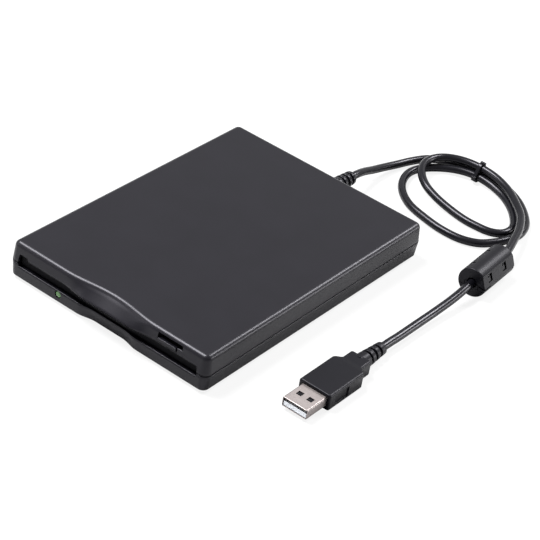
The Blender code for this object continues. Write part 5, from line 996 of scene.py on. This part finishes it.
def grip_boot():
    """Ribbed boot: a tapered sleeve with three grooves, turned about the plug's length."""
    root_radius, slope, root, end = 3.7 * MM, 1 / 14, -13.1 * MM, 2.9 * MM
    starts, width, depth = (-8.1 * MM, -4.7 * MM, -1.3 * MM), 1.1 * MM, 1.0 * MM

    def radius(y):
        return root_radius - slope * max(y - GRIP_BACK, 0)

    corners = [(CORE_RADIUS, root), (root_radius, root), (root_radius, GRIP_BACK)]
    corners += groove_corners(radius, starts, width, depth)
    corners += [(radius(end), end)] + bore_corners(end)
    rounds = [0.05, 0.05, 0.1, 0.45, 0.25, 0.25] + [0.45, 0.45, 0.25, 0.25] * 2 + [0.45, 0.4, 0.15]
    return revolve(rounded(corners, np.array(rounds) * MM), (PLUG_X, 0, PLUG_Z))


def plug_grip():
    """Grip and boot in one, with a sunk panel in each side and a seat for the shell."""
    panel_y, panel_long, panel_high, panel_corner = -33.6 * MM, 4.3, 2.3, 0.5 * MM
    walls = ((7.15, -0.2), (7.25, -0.05), (7.65, 0.0), (7.75, 0.12), (9.0, 0.12))    # mm aside, mm of growth
    panels = []
    for side in (-1, 1):
        panels.append(skin(np.array([
            section((PLUG_X + side * reach * MM, panel_y, PLUG_Z), (panel_long + grow) * MM,
                    (panel_high + grow) * MM, panel_corner, 0) for reach, grow in walls])))
    seat_reach, seat_wide, seat_high, seat_corner = (-44.0 * MM, -33.3 * MM), 6.3 * MM, 2.55 * MM, 0.8 * MM
    seat = skin(np.array([plug_ring(y, seat_wide, seat_high, seat_corner) for y in seat_reach]))
    made = carved("plug_grip", [grip_body()], [("UNION", [grip_boot()]), *cuts(panels, [seat])])
    piece("plug_grip", made, "case", LOOKS["grip_plastic"], ["plug_overmold"])


def plug_shell():
    """Steel shell: a rolled front edge on a tube of round rectangles, with two windows through it."""
    back, corner, inner_corner = -33.6 * MM, 0.75 * MM, 0.5 * MM
    rows = (            # place, half width, half height, corner
        (back, 6.0 * MM, 2.25 * MM, corner),
        (-53.2 * MM, 6.0 * MM, 2.25 * MM, corner),
        (-53.5 * MM, 5.93 * MM, 2.18 * MM, corner),
        (-53.6 * MM, 5.84 * MM, 2.09 * MM, corner),
        (-53.45 * MM, 5.7 * MM, 1.95 * MM, inner_corner),
        (back, 5.7 * MM, 1.95 * MM, inner_corner))
    tube = looped(np.array([plug_ring(*row, 8) for row in rows]))
    window_x, window_half, window_front, window_back = 2.5 * MM, 1.25 * MM, -48.6 * MM, -46.1 * MM
    windows = []
    for side in (-1, 1):
        x = PLUG_X + side * window_x
        windows.append(cuboid((x - window_half, window_front, -MM),
                              (x + window_half, window_back, 2 * PLUG_Z + MM)))
    piece("plug_tube", carved("plug_tube", [tube], cuts(windows)), "case", LOOKS["plug_steel"],
          ["plug_shell"])


def plug_inside():
    """Tongue with its four contacts, and the dark block behind the windows of the shell."""
    half, front, back, low, high = 5.5 * MM, -53.3 * MM, -33.6 * MM, 1.95 * MM, 4.1 * MM
    tongue = pad((PLUG_X - half, front, low), (PLUG_X + half, back, high), edge=0.2 * MM, corner=0.25 * MM)
    piece("tongue", [tongue], "case", LOOKS["socket_white"], ["plug_tongue"])
    contact_half, contact_back, contact_low, contact_high = 0.5 * MM, -34.2 * MM, 4.08 * MM, 4.18 * MM
    contacts = []
    for aside, start in ((-3.5, -52.0), (-1.0, -51.0), (1.0, -51.0), (3.5, -52.0)):
        x = PLUG_X + aside * MM
        contacts.append(cuboid((x - contact_half, start * MM, contact_low),
                               (x + contact_half, contact_back, contact_high)))
    piece("contacts", contacts, "case", LOOKS["contact_gold"], flat=True)
    half, front, back, low, high = 5.3 * MM, -47.6 * MM, -33.8 * MM, 4.3 * MM, 5.6 * MM
    core = pad((PLUG_X - half, front, low), (PLUG_X + half, back, high), edge=0.1 * MM, corner=0.15 * MM)
    piece("plug_core", [core], "case", LOOKS["cord_plastic"])


def camera():
    """The photograph's camera."""
    lens = bpy.data.cameras.new("camera")
    lens.lens = CAMERA_LENS
    eye = link(bpy.data.objects.new("camera", lens))
    eye.location = CAMERA_PLACE
    eye.rotation_euler = Euler([math.radians(turn) for turn in CAMERA_TURN])
    scene.camera = eye


def seen_white(start, strength):
    """1 for rays from the camera, mirrors and glass, and the given strength for all others."""
    ray = start.node("ShaderNodeLightPath")
    glossy = start.node("ShaderNodeLightPath", out="Is Glossy Ray")
    through = start.node("ShaderNodeLightPath", out="Is Transmission Ray")
    seen = start.math("MAXIMUM", ray, start.math("MAXIMUM", glossy, through))
    return strength + (1 - strength) * seen


def light():
    """White world and soft boxes; floor() makes the pale floor that keeps the shadow."""
    world = bpy.data.worlds.new("studio")
    world.use_nodes = True
    scene.world = world
    background = world.node_tree.nodes["Background"]
    background.inputs["Color"].default_value = (1, 1, 1, 1)
    start = Wire(world.node_tree)
    world.node_tree.links.new(seen_white(start, SKY_LIGHT).socket, background.inputs["Strength"])
    for place, size, power, name in LAMPS:
        lamp = bpy.data.lights.new(name, "AREA")
        lamp.shape = "DISK"
        lamp.size = size
        lamp.energy = power
        holder = link(bpy.data.objects.new(name, lamp))
        holder.location = place
        holder.rotation_euler = holder.location.to_track_quat("Z", "Y").to_euler()


def floor():
    """Pale floor on the plane that the feet stand on."""
    corners = [(x * FLOOR_HALF, y * FLOOR_HALF, 0) for x, y in ((-1, -1), (1, -1), (1, 1), (-1, 1))]
    mesh = bpy.data.meshes.new("floor")
    mesh.from_pydata(corners, [], [(0, 1, 2, 3)])
    ground = link(bpy.data.objects.new("floor", mesh))

    def varying(start):
        drift = start.noise(FLOOR_SCALE).above(0.5, soft=0.4)
        return {"Base Color": start.mix(drift, rgba(FLOOR_COLOR), rgba(FLOOR_COLOR, 1.01))}

    look = material("floor", varying, {"Roughness": 0.9, "Specular IOR Level": 0.0})
    tree = look.node_tree
    start = Wire(tree)
    plain = Wire(tree, tree.nodes["Principled BSDF"].outputs[0])
    white = start.node("ShaderNodeEmission")
    seen = start.node("ShaderNodeLightPath")
    away = start.node("ShaderNodeVectorMath", {"operation": "LENGTH"}, {0: start.place()}, "Value")
    both = start.node("ShaderNodeMixShader", None, {
        0: seen * (1 - SHADOW_SHARE * (1 - away.above(SHADOW_REACH, SHADOW_SOFT))), 1: plain, 2: white})
    tree.links.new(both.socket, tree.nodes["Material Output"].inputs["Surface"])
    mesh.materials.append(look)


def cord():
    """The cord along its route, as one smooth tube, from inside the sleeve to inside the boot."""
    start_y, end_y = 85.0 * MM, 0.2 * MM
    route = ((EXIT_X, start_y, EXIT_Z), *CORD_ROUTE, (CORD_ROUTE[-1][0], end_y, CORD_ROUTE[-1][2]))
    path, _ = even_points(smooth_route(route), CORD_STEP)
    made = piece(
        "cord", [skin(round_tube(path, CORD_RADIUS, CORD_SIDES))], "case",
        LOOKS["cord_plastic"], ["usb_cord"])


DARK_PLASTICS = (       # name, colour, roughness, grain, tone, depth of the grain, specular level
    ("case_plastic", (0.0024, 0.0022, 0.0036), 0.34, 5000.0, 0.15, 0.004 * MM, 0.17),
    ("dark_plastic", (0.003, 0.003, 0.0038), 0.42, 9000.0, 0.2, 0.01 * MM, 0.17),
    ("cord_plastic", (0.0022, 0.0022, 0.0032), 0.26, 6000.0, 0.1, 0.004 * MM, 0.15),
    # the flap is black plastic; its colour, darker than the other plastics, is painted shade of the slot's
    # inside
    ("flap_plastic", (0.0014, 0.0014, 0.0018), 0.55, 9000.0, 0.2, 0.01 * MM, 0.05),
    ("grip_plastic", (0.0020, 0.0020, 0.0030), 0.38, 4000.0, 0.2, 0.01 * MM, 0.11),
)
LOOKS = {row[0]: moulded(*row, SHEEN) for row in DARK_PLASTICS}
LOOKS.update({
    "lens_green": moulded("lens_green", (0.05, 0.145, 0.032), 0.2, 2500.0, 0.3),
    "foot_rubber": moulded("foot_rubber", (0.012, 0.012, 0.013), 0.7, 2500.0, 0.3, 0.04 * MM),
    "socket_white": moulded("socket_white", (0.60, 0.62, 0.66), 0.5, 2500.0, 0.06),
    "ferrite_grey": moulded("ferrite_grey", (0.06, 0.06, 0.065), 0.5, 2500.0),
    "steel_sheet": metal("steel_sheet", (0.52, 0.53, 0.53), 0.38, 700.0, (1, 12, 1)),
    "steel_bright": metal("steel_bright", (0.62, 0.61, 0.60), 0.24, 1200.0, (12, 1, 12)),
    "plug_steel": metal("plug_steel", (0.190, 0.170, 0.167), 0.44, 900.0, (1, 14, 1)),
    "contact_gold": metal("contact_gold", (0.80, 0.58, 0.26), 0.25, 900.0, (1, 10, 1)),
    "board_green": board("board_green", (0.012, 0.085, 0.035)),
    "ribbon_white": ribbon("ribbon_white", (0.62, 0.61, 0.56)),
})

camera()
light()
floor()
upper_cover()
lower_cover()
slot_flap()
button_and_lens()
feet()
screws()
strain_relief()
cord_band()
ferrite_clip()
plug_grip()
plug_shell()
plug_inside()
cord()
for part in frame["record"]["subparts"]:
    node = nodes[part["node"]]
    node.data.materials.clear()
    look = "ribbon_white" if part["node"] == "board_ribbon" else part["material_slot"]
    node.data.materials.append(LOOKS[look])
